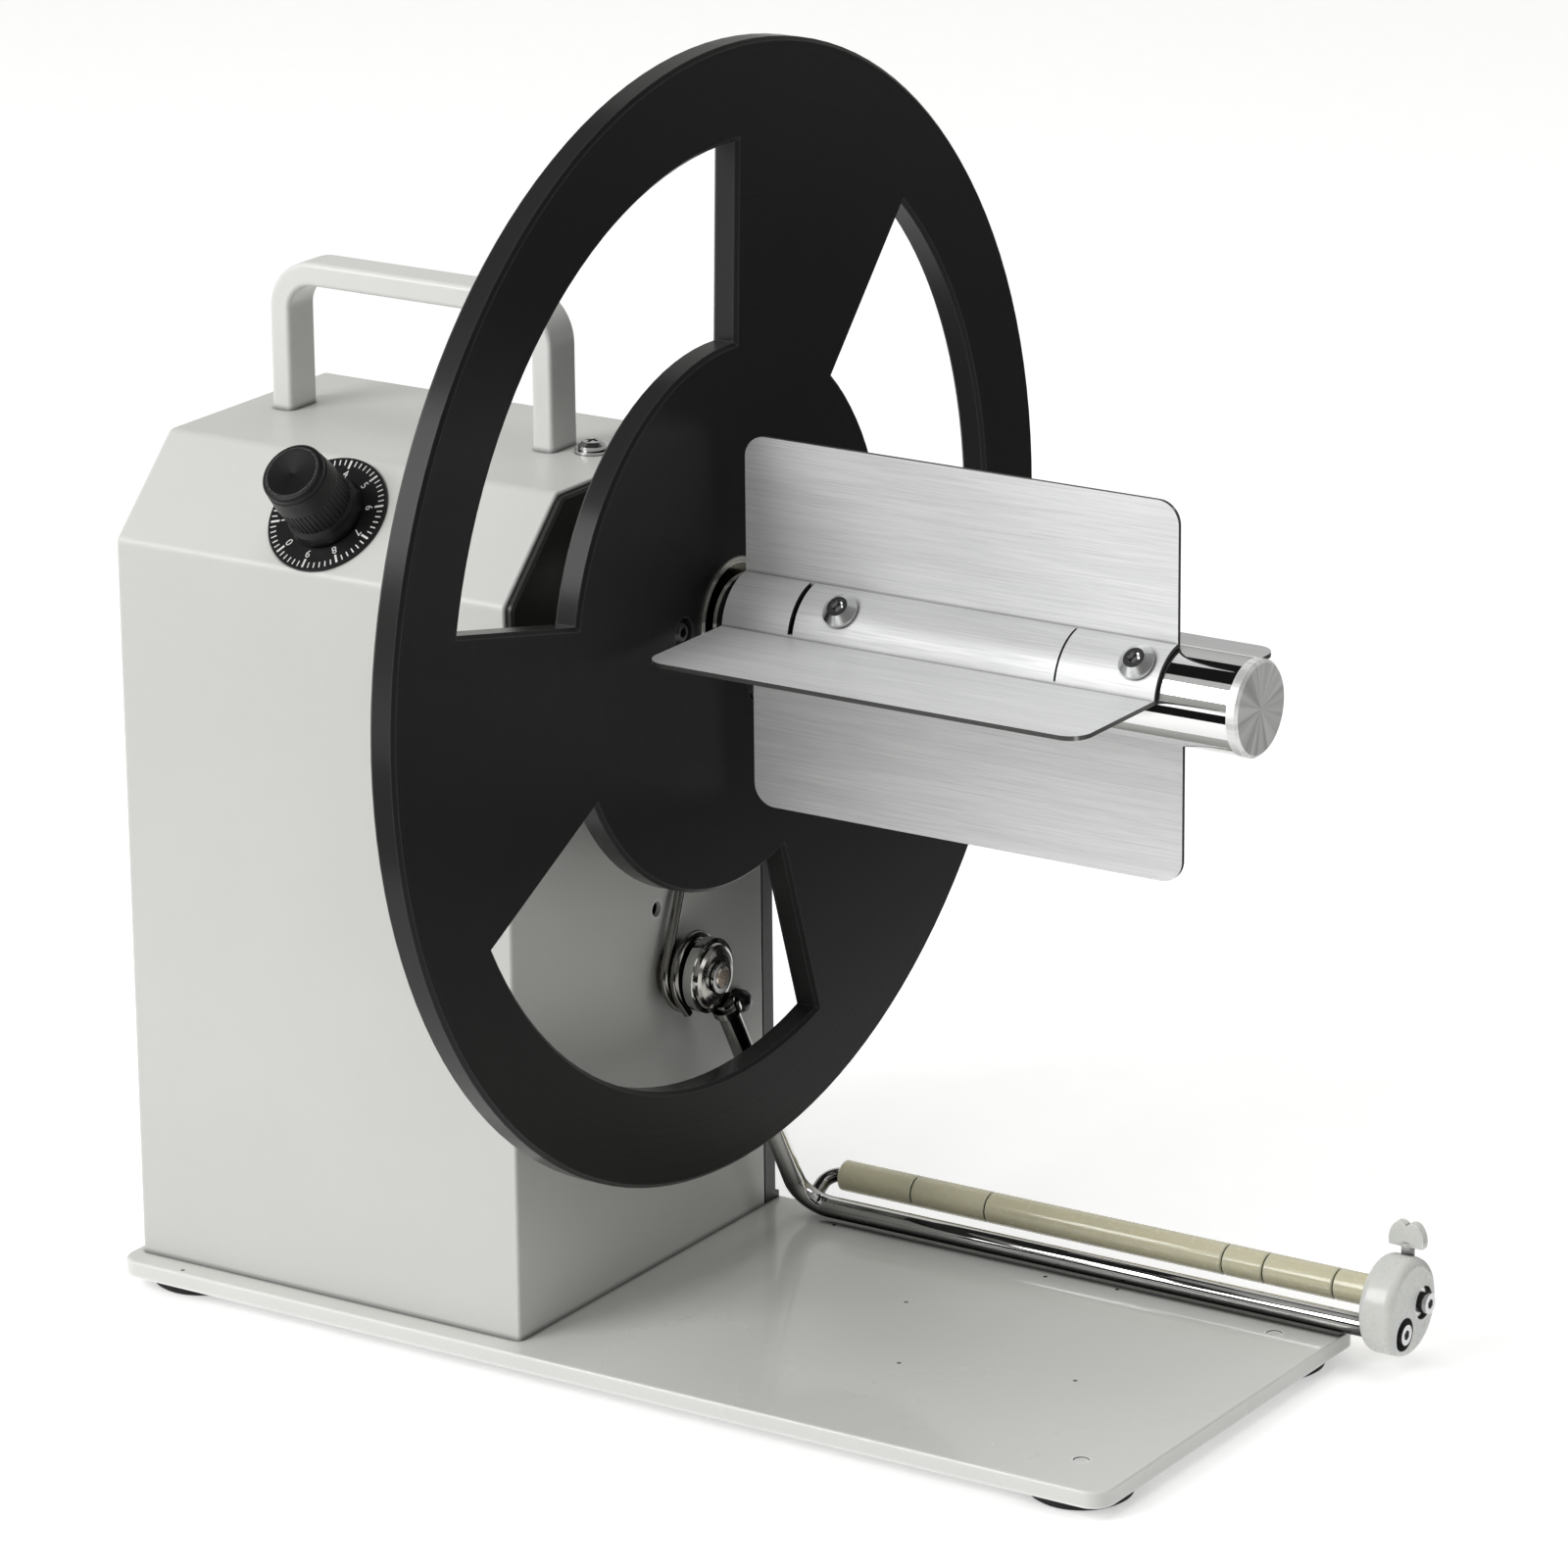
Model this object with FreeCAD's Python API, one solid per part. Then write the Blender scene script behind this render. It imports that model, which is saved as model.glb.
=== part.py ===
"""Motorised label rewinder for the table top.

X runs along the spindle to its free end, Y to the rear and Z up. The origin lies on the
table under the middle of the base plate. All lengths are in millimetres.
"""
import math
import os

import FreeCAD
import Part

V = FreeCAD.Vector
os.makedirs("parts", exist_ok=True)

# Base plate on four rubber feet
plate_long = 308.0
plate_wide = 133.0
plate_thick = 4.5
plate_corner = 6.0
foot_dia = 28.0
foot_high = 4.0
foot_from_end = 16.0
foot_from_side = 17.0
foot_recess_dia = 10.0
foot_recess_deep = 2.6

# Sheet metal housing with a sloping front and a matching sloping rear edge
box_long = 124.0
box_deep = 118.0
box_high = 224.6
box_from_end = 3.0
slope_size = 24.5
sheet = 1.5
fold_radius = 3.0
edge_round = 0.9
rim_wide = 12.0
shell_screw_from_end = 34.0
side_hole_dia = 4.3
side_hole_y = 8.0
side_hole_high = 100.1

# Rear cover, a shallow pan with vents
cover_deep = 6.0
cover_sheet = 1.2
vent_long = 26.0
vent_wide = 3.0
vent_pitch = 7.0
vent_rows = 6

# Spindle
axis_high = 196.0
disc_from_box = 31.0
disc_dia = 300.0
disc_thick = 7.6
disc_edge = 1.0
disc_bore_dia = 32.0
window_inner_r = 72.3
window_outer_r = 124.6
window_angle = 80.0
window_first = 8.0
window_count = 3
tube_dia = 25.0
tube_wall = 2.0
tube_past_disc = 155.6
cap_rim = 3.0
shaft_dia = 12.0
hub_dia = 60.0
hub_thick = 6.0
hub_barrel_dia = 26.0
hub_barrel_long = 5.0
ring_wall = 1.6
ring_proud = 0.5
disc_screw_r = 23.4
disc_screw_first = 176.0
fit = 0.05

# The two bent fin plates that hold the core of a roll
fin_sheet = 1.2
fin_from_disc = 5.2
fin_long = 127.8
fin_reach = 50.0
fin_offset = 0.8
fin_corner = 6.0
fin_gap = 0.2
fin_slit_from_end = 20.0
fin_slit_wide = 1.5
fin_far_slit_from_end = 29.0
fin_far_slit_wide = 0.6
fin_screw_from_end = 33.8
fin_far_screw_from_end = 7.0

# Bearings and the black plate that carries them
bearing_plate_thick = 2.0
bearing_plate_inset = 1.2
bearing_plate_low = 151.0
bearing_od = 28.0
bearing_wide = 8.0
race_dia = 19.0
race_gap = 0.06
carrier_flange_dia = 58.0
carrier_flange_thick = 6.0
carrier_spigot_dia = 36.0
carrier_spigot_long = 16.0
carrier_bolt_r = 23.0

# Belt drive
bracket_from_box = 53.0
bracket_thick = 3.0
bracket_wide = 84.0
bracket_foot = 16.0
boss_dia = 38.0
boss_long = 9.0
motor_axis_drop = 82.0
belt_dia = 5.0
belt_from_bracket = 16.0
driven_belt_r = 27.0
drive_belt_r = 9.0
pulley_wide = 11.0
flange_over_belt = 1.8
belt_gap = 0.1
gearbox_dia = 37.0
gearbox_long = 24.0
motor_can_dia = 34.5
motor_can_long = 32.0
motor_shaft_dia = 6.0
motor_offset = 7.0
motor_screw_r = 15.5

# Carrying handle and the screw beside it
handle_pitch = 84.3
handle_high = 41.3
handle_bar = 6.4
handle_wide = 12.0
handle_round = 14.0
handle_from_side = 14.1
handle_y = 2.0
handle_hole_dia = 5.0
top_screw_from_side = 14.6
top_screw_y = 3.0

# Speed control on the front slope
dial_dia = 34.0
dial_thick = 0.8
dial_from_side = 60.5
knob_skirt_dia = 20.8
knob_body_dia = 18.6
knob_shoulder_dia = 17.4
knob_shoulder_round = 1.0
knob_ring_dia = 15.0
knob_ring_wall = 0.5
knob_high = 20.6
knob_skirt_high = 2.6
knob_lift = 0.8
knob_flutes = 44
knob_flute_dia = 0.9
pot_body_dia = 16.5
pot_body_thick = 8.0
pot_bush_dia = 7.0
pot_shaft_dia = 6.0

# Swinging tension arm
pivot_y = 15.5
pivot_high = 81.5
arm_set_back = 42.56
arm_from_box = 12.8
arm_rod_dia = 6.0
arm_over_plate = 3.7
arm_bend = 9.0
arm_hub_dia = 20.4
stud_dia = 6.0
stud_flange_dia = 14.0
stud_flange_thick = 1.4
run_gap = 0.06
axle_dia = 4.0
axle_gap = 11.6
axle_bend = 4.5
roller_dia = 8.6
roller_from_box = 20.0
roller_gap = 0.3
roller_cut_parts = (0.140, 0.279, 0.715, 0.788, 0.913)
collar_dia = 26.6
collar_thick = 10.0
collar_past_plate = 8.0
collar_over_rods = 3.06
collar_behind_rods = -0.37
collar_round = 2.4
recess_dia = 9.0
recess_deep = 3.2
wing_wide = 9.8
wing_high = 6.6
wing_thick = 2.6
wing_lift = 2.6
wing_stem_dia = 3.6
wing_from_face = 5.1
spring_wire = 2.8
spring_coil_r = 9.95
spring_gap = 0.35
spring_turns = 1.0
hub_clear = 0.7
spring_wrap = math.radians(62)
spring_from_box = 3.9
spring_leg = 32.0
spring_tail = 4.8
sensor_y = 45.0
sensor_high = 63.5
sensor_dia = 6.4
sensor_out = 5.0

# Electrics
board_long = 38.0
board_wide = 90.0
board_thick = 1.6
board_lift = 8.0
standoff_af = 5.5
inlet_dia = 11.0
rear_control_from_side = 33.0
rear_control_high = 43.5
bezel_wide = 15.0
bezel_high = 21.0
rocker_wide = 8.6
rocker_high = 14.0
rocker_tilt = 8.0

# Fasteners, by thread
screw_gap = 0.1
m3 = 3.0
m4 = 4.0
m5 = 5.0

# Places worked out from the sizes above
plate_top = foot_high + plate_thick
box_x0 = -plate_long / 2 + box_from_end
box_x1 = box_x0 + box_long
box_y = box_deep / 2
box_top = plate_top + box_high
fold_z = box_top - slope_size
fold_y = box_y - slope_size
disc_face_x = box_x1 + disc_from_box
disc_back_x = disc_face_x - disc_thick
hub_back_x = disc_back_x - hub_thick
tube_r = tube_dia / 2
tube_end_x = disc_face_x + tube_past_disc
saddle_r = tube_r + fin_gap
fin_start_x = disc_face_x + fin_from_disc
fin_end_x = fin_start_x + fin_long
fin_slit_x = fin_start_x + fin_slit_from_end
fin_far_slit_x = fin_end_x - fin_far_slit_from_end
fin_screw_x = (fin_start_x + fin_screw_from_end, fin_end_x - fin_far_screw_from_end)
plate_face_x = box_x1 + bearing_plate_thick
bracket_x = box_x1 - bracket_from_box
belt_x = bracket_x + belt_from_bracket
motor_axis_z = axis_high - motor_axis_drop
arm_x = box_x1 + arm_from_box
spring_x = box_x1 + spring_from_box
pivot_z = plate_top + pivot_high
sensor_z = plate_top + sensor_high
arm_drop = pivot_high - arm_over_plate
arm_length = math.hypot(arm_set_back, arm_drop)
lean_sin = arm_set_back / arm_length
lean_cos = arm_drop / arm_length
rod_y = pivot_y + arm_set_back
rod_z = pivot_z - arm_drop
axle_y = rod_y + axle_gap * lean_cos
axle_z = rod_z + axle_gap * lean_sin
roller_start_x = box_x1 + roller_from_box
collar_x = plate_long / 2 + collar_past_plate
collar_y = (rod_y + axle_y) / 2 + collar_behind_rods
collar_z = (rod_z + axle_z) / 2 + collar_over_rods
inlet_x = box_x1 - rear_control_from_side
switch_x = box_x0 + rear_control_from_side
rear_control_z = plate_top + rear_control_high
slope_n = V(0, -math.sqrt(0.5), math.sqrt(0.5))
dial_x = box_x0 + dial_from_side
dial_mid = V(dial_x, -(box_y + fold_y) / 2, (fold_z + box_top) / 2)


def box(x0, x1, y0, y1, z0, z1):
    """Block between two corners."""
    return Part.makeBox(x1 - x0, y1 - y0, z1 - z0, V(x0, y0, z0))


def rod(r, start, length, along):
    """Round bar from a start point along a direction."""
    return Part.makeCylinder(r, length, start, along)


def rod_x(r, x0, x1, y=0.0, z=0.0):
    """Round bar along X."""
    return rod(r, V(x0, y, z), x1 - x0, V(1, 0, 0))


def rod_z_up(r, x, y, z0, z1):
    """Round bar along Z."""
    return rod(r, V(x, y, z0), z1 - z0, V(0, 0, 1))


def pipe_x(r_out, r_in, x0, x1, y=0.0, z=0.0):
    """Tube along X."""
    return rod_x(r_out, x0, x1, y, z).cut(rod_x(r_in, x0 - 1, x1 + 1, y, z))


def face_of(points):
    """Flat face inside straight lines from point to point."""
    return Part.Face(Part.makePolygon(list(points) + [points[0]]))


def hexagon(af, start, length, along):
    """Hexagonal bar, af across its flats."""
    corner_r = af / math.sqrt(3)
    turn = FreeCAD.Rotation(V(0, 0, 1), along)
    ring = [V(corner_r * math.cos(math.radians(60 * i)), corner_r * math.sin(math.radians(60 * i)), 0)
            for i in range(6)]
    return face_of([start + turn.multVec(p) for p in ring]).extrude(along * length)


def revolve_profile(points, start, along):
    """Solid of revolution: points are (radius, height) about the line from start along a direction."""
    flat = face_of([V(r, 0, h) for r, h in points])
    body = flat.revolve(V(0, 0, 0), V(0, 0, 1), 360)
    body.Placement = FreeCAD.Placement(start, FreeCAD.Rotation(V(0, 0, 1), along))
    return body


def socket_screw(size, start, along, length, head_dia, head_high, key):
    """Screw whose head sits at start and points away from along; domed head with a hexagon socket."""
    out = along * -1
    crown = head_dia * 0.3
    head = revolve_profile([(0, 0), (head_dia / 2, 0), (head_dia / 2, head_high * 0.35),
                            (crown, head_high), (0, head_high)], start, out)
    shank = rod(size / 2, start, length, along)
    socket = hexagon(key, start + out * (head_high * 0.35), head_high, out)
    return head.fuse(shank).cut(socket)


def cross_screw(size, start, along, length, head_dia, head_high):
    """Pan head screw with a cross recess, its head on the side away from along."""
    out = along * -1
    head = revolve_profile([(0, 0), (head_dia / 2, 0), (head_dia / 2, head_high * 0.45),
                            (head_dia * 0.34, head_high * 0.85), (0, head_high)], start, out)
    body = head.fuse(rod(size / 2, start, length, along))
    turn = FreeCAD.Rotation(V(0, 0, 1), out)
    slot_long = head_dia * 0.5
    slot_wide = head_dia * 0.13
    for a, b in ((slot_long, slot_wide), (slot_wide, slot_long)):
        slot = box(-a / 2, a / 2, -b / 2, b / 2, head_high * 0.4, head_high * 1.2)
        slot.Placement = FreeCAD.Placement(start, turn)
        body = body.cut(slot)
    return body


def around(count, first=0.0):
    """Evenly spaced angles in degrees."""
    return [first + 360.0 * i / count for i in range(count)]


def polar(r, angle):
    """Y and Z offsets of a point on a circle about the X direction."""
    a = math.radians(angle)
    return r * math.cos(a), r * math.sin(a)


nodes = {}


def keep(name, shape):
    """Store one piece, or one group of like pieces, under its node name."""
    solids = shape.Solids
    nodes[name] = solids[0] if len(solids) == 1 else Part.makeCompound(solids)


# Base plate, feet and the screws that come up through them

foot_places = [(sx * (plate_long / 2 - foot_from_end), sy * (plate_wide / 2 - foot_from_side))
               for sx in (-1, 1) for sy in (-1, 1)]
shell_screw_places = [(box_x0 + fx, sy * (box_y - sheet - rim_wide / 2))
                      for fx in (shell_screw_from_end, box_long - shell_screw_from_end)
                      for sy in (-1, 1)]
bracket_screw_places = [(bracket_x - bracket_foot / 2, y) for y in (-28.0, 0.0, 28.0)]


def make_base_plate():
    half_l = plate_long / 2
    half_w = plate_wide / 2
    body = box(-half_l, half_l, -half_w, half_w, foot_high, plate_top)
    upright = [e for e in body.Edges if abs(e.tangentAt(e.FirstParameter).z) > 0.9]
    body = body.makeFillet(plate_corner, upright)
    rim = [e for e in body.Edges if abs(e.BoundBox.ZMin - plate_top) < 0.01]
    body = body.makeFillet(0.7, rim)
    holes = [rod_z_up(m4 / 2 + screw_gap, x, y, 0, plate_top + 1) for x, y in foot_places]
    holes += [rod_z_up(m4 / 2 + screw_gap, x, y, 0, plate_top + 1) for x, y in shell_screw_places]
    holes += [rod_z_up(m5 / 2 + screw_gap, x, y, 0, plate_top + 1) for x, y in bracket_screw_places]
    return body.cut(holes)


def make_foot(x, y):
    r = foot_dia / 2
    outline = [(m4 / 2 + screw_gap, foot_recess_deep), (foot_recess_dia / 2, foot_recess_deep),
               (foot_recess_dia / 2, 0), (r - 1.6, 0), (r - 0.6, 0.7), (r, foot_high - 1.0),
               (r, foot_high), (m4 / 2 + screw_gap, foot_high)]
    return revolve_profile(outline, V(x, y, 0), V(0, 0, 1))


keep("base_plate", make_base_plate())
keep("rubber_feet", Part.makeCompound([make_foot(x, y) for x, y in foot_places]))
keep("foot_screws", Part.makeCompound([
    cross_screw(m4, V(x, y, foot_recess_deep), V(0, 0, 1), foot_high + plate_thick - foot_recess_deep - 0.3,
                7.6, 2.2) for x, y in foot_places]))


# Housing shell: one sheet folded over the front, slopes, top and rear, with welded side walls

def housing_section(inset, bottom):
    """Outline of the housing in the YZ plane, moved inwards by inset."""
    slip = inset * math.tan(math.radians(22.5))
    y = box_y - inset
    corners = [(-y, bottom), (-y, fold_z - slip), (-(fold_y - slip), box_top - inset),
               (fold_y - slip, box_top - inset), (y, fold_z - slip), (y, bottom)]
    return corners


def housing_block(inset, x0, x1, bottom, fold_r):
    """Solid block with the housing's outline and rounded folds."""
    block = face_of([V(x0, y, z) for y, z in housing_section(inset, bottom)]).extrude(V(x1 - x0, 0, 0))
    folds = [e for e in block.Edges
             if abs(e.tangentAt(e.FirstParameter).x) > 0.9 and e.BoundBox.ZMin > bottom + 1]
    return block.makeFillet(fold_r, folds)


def make_housing_shell():
    block = housing_block(0, box_x0, box_x1, plate_top, fold_radius)
    ends = [e for e in block.Edges
            if e.BoundBox.XLength < 0.01 and e.BoundBox.ZMax > plate_top + 0.01]
    block = block.makeFillet(edge_round, ends)
    hollow = housing_block(sheet, box_x0 + sheet, box_x1 - sheet, plate_top + sheet, fold_radius - sheet)
    body = block.cut(hollow)
    inner_x0 = box_x0 + sheet + rim_wide
    inner_x1 = box_x1 - sheet - rim_wide
    inner_y = box_y - sheet - rim_wide
    floor_opening = box(inner_x0, inner_x1, -inner_y, inner_y, plate_top - 1, plate_top + sheet + 1)
    rear_opening = box(inner_x0, inner_x1, box_y - sheet - 1, box_y + 1,
                       plate_top + rim_wide + 8, fold_z - rim_wide)
    body = body.cut([floor_opening, rear_opening])
    holes = [rod_z_up(m4 / 2 + screw_gap, x, y, plate_top - 1, plate_top + sheet + 1)
             for x, y in shell_screw_places]
    holes += [rod_z_up(handle_hole_dia / 2 + screw_gap, x, handle_y, box_top - sheet - 1, box_top + 1)
              for x in handle_leg_x]
    holes.append(rod_z_up(m4 / 2 + screw_gap, top_screw_x, top_screw_y, box_top - sheet - 1, box_top + 1))
    holes.append(rod(pot_bush_dia / 2 + screw_gap, dial_mid - slope_n * 4, 8, slope_n))
    holes.append(rod_x(carrier_spigot_dia / 2 + 0.3, box_x1 - 3, box_x1 + 1, 0, axis_high))
    holes.append(rod_x(stud_dia / 2 + screw_gap, box_x1 - 3, box_x1 + 1, pivot_y, pivot_z))
    holes.append(rod_x(side_hole_dia / 2, box_x1 - 3, box_x1 + 1, side_hole_y, plate_top + side_hole_high))
    holes.append(rod_x(sensor_dia / 2 - 0.6, box_x1 - 3, box_x1 + 1, sensor_y, sensor_z))
    holes.append(rod_x(m4 / 2 + screw_gap, box_x1 - 3, box_x1 + 1, anchor_y, anchor_z))
    holes += [rod_x(m5 / 2 + screw_gap, box_x1 - 3, box_x1 + 1, y, axis_high + z)
              for y, z in carrier_bolts]
    holes += [rod_x(m4 / 2 + screw_gap, box_x1 - 3, box_x1 + 1, y, z) for y, z in plate_screws]
    holes += [rod(m4 / 2 + screw_gap, V(x, box_y - 3, z), 4, V(0, 1, 0)) for x, z in cover_screws]
    return body.cut(holes)


handle_leg_x = [box_x0 + handle_from_side + i * handle_pitch for i in (0, 1)]
top_screw_x = box_x1 - top_screw_from_side
carrier_bolts = [polar(carrier_bolt_r, a) for a in around(4, 45)]
plate_screws = [(-34.0, bearing_plate_low + 9.0), (34.0, bearing_plate_low + 9.0)]
cover_screws = [(x, z) for x in (box_x0 + sheet + rim_wide / 2, box_x1 - sheet - rim_wide / 2)
                for z in (plate_top + 14.0, (plate_top + fold_z) / 2, fold_z - 7.0)]
leg_lean = math.radians(25.0)
leg_end = spring_leg - 4.0
leg_side = (spring_wire + m4) / 2 + 0.02 - spring_coil_r
anchor_y = pivot_y + leg_side * math.cos(leg_lean) + leg_end * math.sin(leg_lean)
anchor_z = pivot_z - leg_side * math.sin(leg_lean) + leg_end * math.cos(leg_lean)

keep("housing_shell", make_housing_shell())
keep("housing_screws", Part.makeCompound([
    cross_screw(m4, V(x, y, foot_high), V(0, 0, 1), plate_thick + sheet + 4, 7.6, 2.4)
    for x, y in shell_screw_places]))


# Rear cover: a shallow folded pan with rows of vents, and its screws

def make_rear_cover():
    y0 = box_y
    y1 = box_y + cover_deep
    z1 = fold_z - 1.0
    body = box(box_x0, box_x1, y0, y1, plate_top, z1)
    corners = [e for e in body.Edges if e.BoundBox.YMin > y1 - 0.01]
    body = body.makeFillet(1.4, corners)
    body = body.cut(box(box_x0 + cover_sheet, box_x1 - cover_sheet, y0 - 1, y1 - cover_sheet,
                        plate_top + cover_sheet, z1 - cover_sheet))
    cuts = []
    mid_x = (box_x0 + box_x1) / 2
    for column in (-1, 1):
        for row in range(vent_rows):
            x = mid_x + column * (vent_long / 2 + 6)
            z = fold_z - 32 - row * vent_pitch
            slot = box(x - vent_long / 2, x + vent_long / 2, y1 - 3, y1 + 1, z - vent_wide / 2, z + vent_wide / 2)
            ends = [e for e in slot.Edges if abs(e.tangentAt(e.FirstParameter).y) > 0.9]
            cuts.append(slot.makeFillet(vent_wide / 2 - 0.05, ends))
    cuts.append(box(switch_x - bezel_wide / 2 + 1, switch_x + bezel_wide / 2 - 1, y1 - 3, y1 + 1,
                    rear_control_z - bezel_high / 2 + 1, rear_control_z + bezel_high / 2 - 1))
    cuts.append(rod(inlet_dia / 2 + screw_gap, V(inlet_x, y1 - 3, rear_control_z), 4, V(0, 1, 0)))
    body = body.cut(cuts)
    seats = []
    for x, z in cover_screws:
        cup = rod(6.0, V(x, y0, z), cover_deep - cover_sheet, V(0, 1, 0))
        seats.append(cup)
    body = body.fuse(seats)
    body = body.fuse(box(box_x0, box_x1, y1 - cover_sheet, y1 + 0.8, plate_top, plate_top + 1.8))
    body = body.cut([rod(4.4, V(x, y0 + cover_sheet, z), cover_deep, V(0, 1, 0)) for x, z in cover_screws])
    return body.cut([rod(m4 / 2 + screw_gap, V(x, y0 - 1, z), cover_deep, V(0, 1, 0))
                     for x, z in cover_screws])


keep("rear_cover", make_rear_cover())
keep("rear_cover_screws", Part.makeCompound([
    cross_screw(m4, V(x, box_y + cover_sheet, z), V(0, -1, 0), cover_sheet + sheet + 4, 7.6, 2.6)
    for x, z in cover_screws]))


# Black bearing plate, which follows the housing's outline behind the disc

def make_bearing_plate():
    body = housing_block(bearing_plate_inset, box_x1, plate_face_x, bearing_plate_low, fold_radius)
    rim = [e for e in body.Edges if e.BoundBox.XMin > plate_face_x - 0.01]
    body = body.makeChamfer(0.7, rim)
    cuts = [rod_x(carrier_spigot_dia / 2 + 0.3, box_x1 - 1, plate_face_x + 1, 0, axis_high)]
    cuts += [rod_x(m5 / 2 + screw_gap, box_x1 - 1, plate_face_x + 1, y, axis_high + z)
             for y, z in carrier_bolts]
    cuts += [rod_x(m4 / 2 + screw_gap, box_x1 - 1, plate_face_x + 1, y, z) for y, z in plate_screws]
    return body.cut(cuts)


keep("bearing_plate", make_bearing_plate())
keep("bearing_plate_screws", Part.makeCompound([
    cross_screw(m4, V(plate_face_x, y, z), V(-1, 0, 0), bearing_plate_thick + sheet + 4, 7.6, 2.4)
    for y, z in plate_screws]))


# Bearing carrier, ball bearings and the bolts that hold the carrier

front_race_x = plate_face_x - 1.0
rear_race_x = bracket_x - boss_long + 1.5


def make_bearing_carrier():
    face_x = plate_face_x + carrier_flange_thick
    end_x = box_x1 - carrier_spigot_long
    body = rod_x(carrier_flange_dia / 2, plate_face_x, face_x, 0, axis_high)
    rim = [e for e in body.Edges if e.BoundBox.XMin > face_x - 0.01 and e.BoundBox.YLength > 1]
    body = body.makeChamfer(1.0, rim)
    body = body.fuse(rod_x(carrier_spigot_dia / 2, end_x, plate_face_x, 0, axis_high))
    cuts = [rod_x(bearing_od / 2, front_race_x - bearing_wide, face_x + 1, 0, axis_high),
            rod_x(shaft_dia / 2 + 3, end_x - 1, face_x, 0, axis_high)]
    cuts += [rod_x(m5 / 2 + screw_gap, plate_face_x - 1, face_x + 1, y, axis_high + z)
             for y, z in carrier_bolts]
    cuts += [rod_x(4.6, face_x - 3.2, face_x + 1, y, axis_high + z) for y, z in carrier_bolts]
    return body.cut(cuts)


def race_pair(r_out, r_in):
    """One ring of each of the two ball bearings."""
    rings = [pipe_x(r_out, r_in, x, x + bearing_wide, 0, axis_high)
             for x in (front_race_x - bearing_wide, rear_race_x)]
    return Part.makeCompound(rings)


keep("bearing_carrier", make_bearing_carrier())
keep("carrier_bolts", Part.makeCompound([
    socket_screw(m5, V(plate_face_x + carrier_flange_thick - 3.2, y, axis_high + z), V(-1, 0, 0),
                 12.0, 8.5, 2.8, 3.0) for y, z in carrier_bolts]))
keep("bearing_outer_rings", race_pair(bearing_od / 2 - 0.01, race_dia / 2 + race_gap))
keep("bearing_inner_rings", race_pair(race_dia / 2, shaft_dia / 2 + 0.01))


# Spindle: shaft, hub, disc, tube and end cap

plug_r = tube_r - tube_wall - fit
plug_end_x = disc_face_x + 30.0


def make_shaft():
    body = rod_x(shaft_dia / 2, rear_race_x - 3, disc_back_x + 2, 0, axis_high)
    body = body.fuse(rod_x(plug_r, disc_back_x, plug_end_x, 0, axis_high))
    return body.cut(hexagon(6.0, V(plug_end_x - 5, 0, axis_high), 6, V(1, 0, 0)))


def make_hub():
    body = rod_x(hub_dia / 2, hub_back_x, disc_back_x, 0, axis_high)
    rear_rim = [e for e in body.Edges if e.BoundBox.XMax < hub_back_x + 0.01 and e.BoundBox.YLength > 1]
    body = body.makeChamfer(0.8, rear_rim)
    body = body.fuse(rod_x(hub_barrel_dia / 2, hub_back_x - hub_barrel_long, hub_back_x, 0, axis_high))
    ring_r = disc_bore_dia / 2 - fit
    body = body.fuse(pipe_x(ring_r, ring_r - ring_wall, disc_back_x, disc_face_x + ring_proud, 0, axis_high))
    body = body.cut(rod_x(shaft_dia / 2 + fit, hub_back_x - 20, disc_face_x, 0, axis_high))
    grub = rod(m4 / 2, V(hub_back_x - hub_barrel_long / 2, 0, axis_high), 20, V(0, 0, 1))
    tapped = [rod_x(m4 / 2, disc_back_x - 5, disc_face_x, y, axis_high + z) for y, z in disc_screws]
    return body.cut([grub] + tapped)


def window_cut(mid_angle):
    """One annular window right through the disc."""
    a0 = math.radians(mid_angle - window_angle / 2)
    a1 = math.radians(mid_angle + window_angle / 2)
    am = (a0 + a1) / 2
    x = disc_back_x - 1

    def at(r, a):
        return V(x, r * math.cos(a), axis_high + r * math.sin(a))

    outer = Part.Arc(at(window_outer_r, a0), at(window_outer_r, am), at(window_outer_r, a1)).toShape()
    inner = Part.Arc(at(window_inner_r, a1), at(window_inner_r, am), at(window_inner_r, a0)).toShape()
    sides = [Part.makeLine(at(window_outer_r, a1), at(window_inner_r, a1)),
             Part.makeLine(at(window_inner_r, a0), at(window_outer_r, a0))]
    wire = Part.Wire([outer, sides[0], inner, sides[1]])
    return Part.Face(wire).extrude(V(disc_thick + 2, 0, 0))


def make_disc():
    body = rod_x(disc_dia / 2, disc_back_x, disc_face_x, 0, axis_high)
    body = body.cut([window_cut(a) for a in around(window_count, window_first)])
    rims = [e for e in body.Edges if e.BoundBox.XLength < 0.01]
    body = body.makeChamfer(disc_edge, rims)
    body = body.cut(rod_x(disc_bore_dia / 2, disc_back_x - 1, disc_face_x + 1, 0, axis_high))
    for y, z in disc_screws:
        body = body.cut(rod_x(m4 / 2 + screw_gap, disc_back_x - 1, disc_face_x + 1, y, axis_high + z))
        body = body.cut(rod_x(4.0, disc_face_x - 2.4, disc_face_x + 1, y, axis_high + z))
    return body


def make_tube():
    body = pipe_x(tube_r, tube_r - tube_wall, disc_back_x, tube_end_x - cap_rim, 0, axis_high)
    return body.cut([rod(m5 / 2 + fit, V(x, 0, axis_high), 20, d)
                     for d in (saddle_out, saddle_out * -1) for x in fin_screw_x])


def make_end_cap():
    r = tube_r
    plug = tube_r - tube_wall - fit
    outline = [(0, -8), (plug - 1, -8), (plug, -7), (plug, 0), (r, 0), (r, cap_rim - 0.8),
               (r - 0.8, cap_rim), (0, cap_rim)]
    return revolve_profile(outline, V(tube_end_x - cap_rim, 0, axis_high), V(1, 0, 0))


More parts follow.
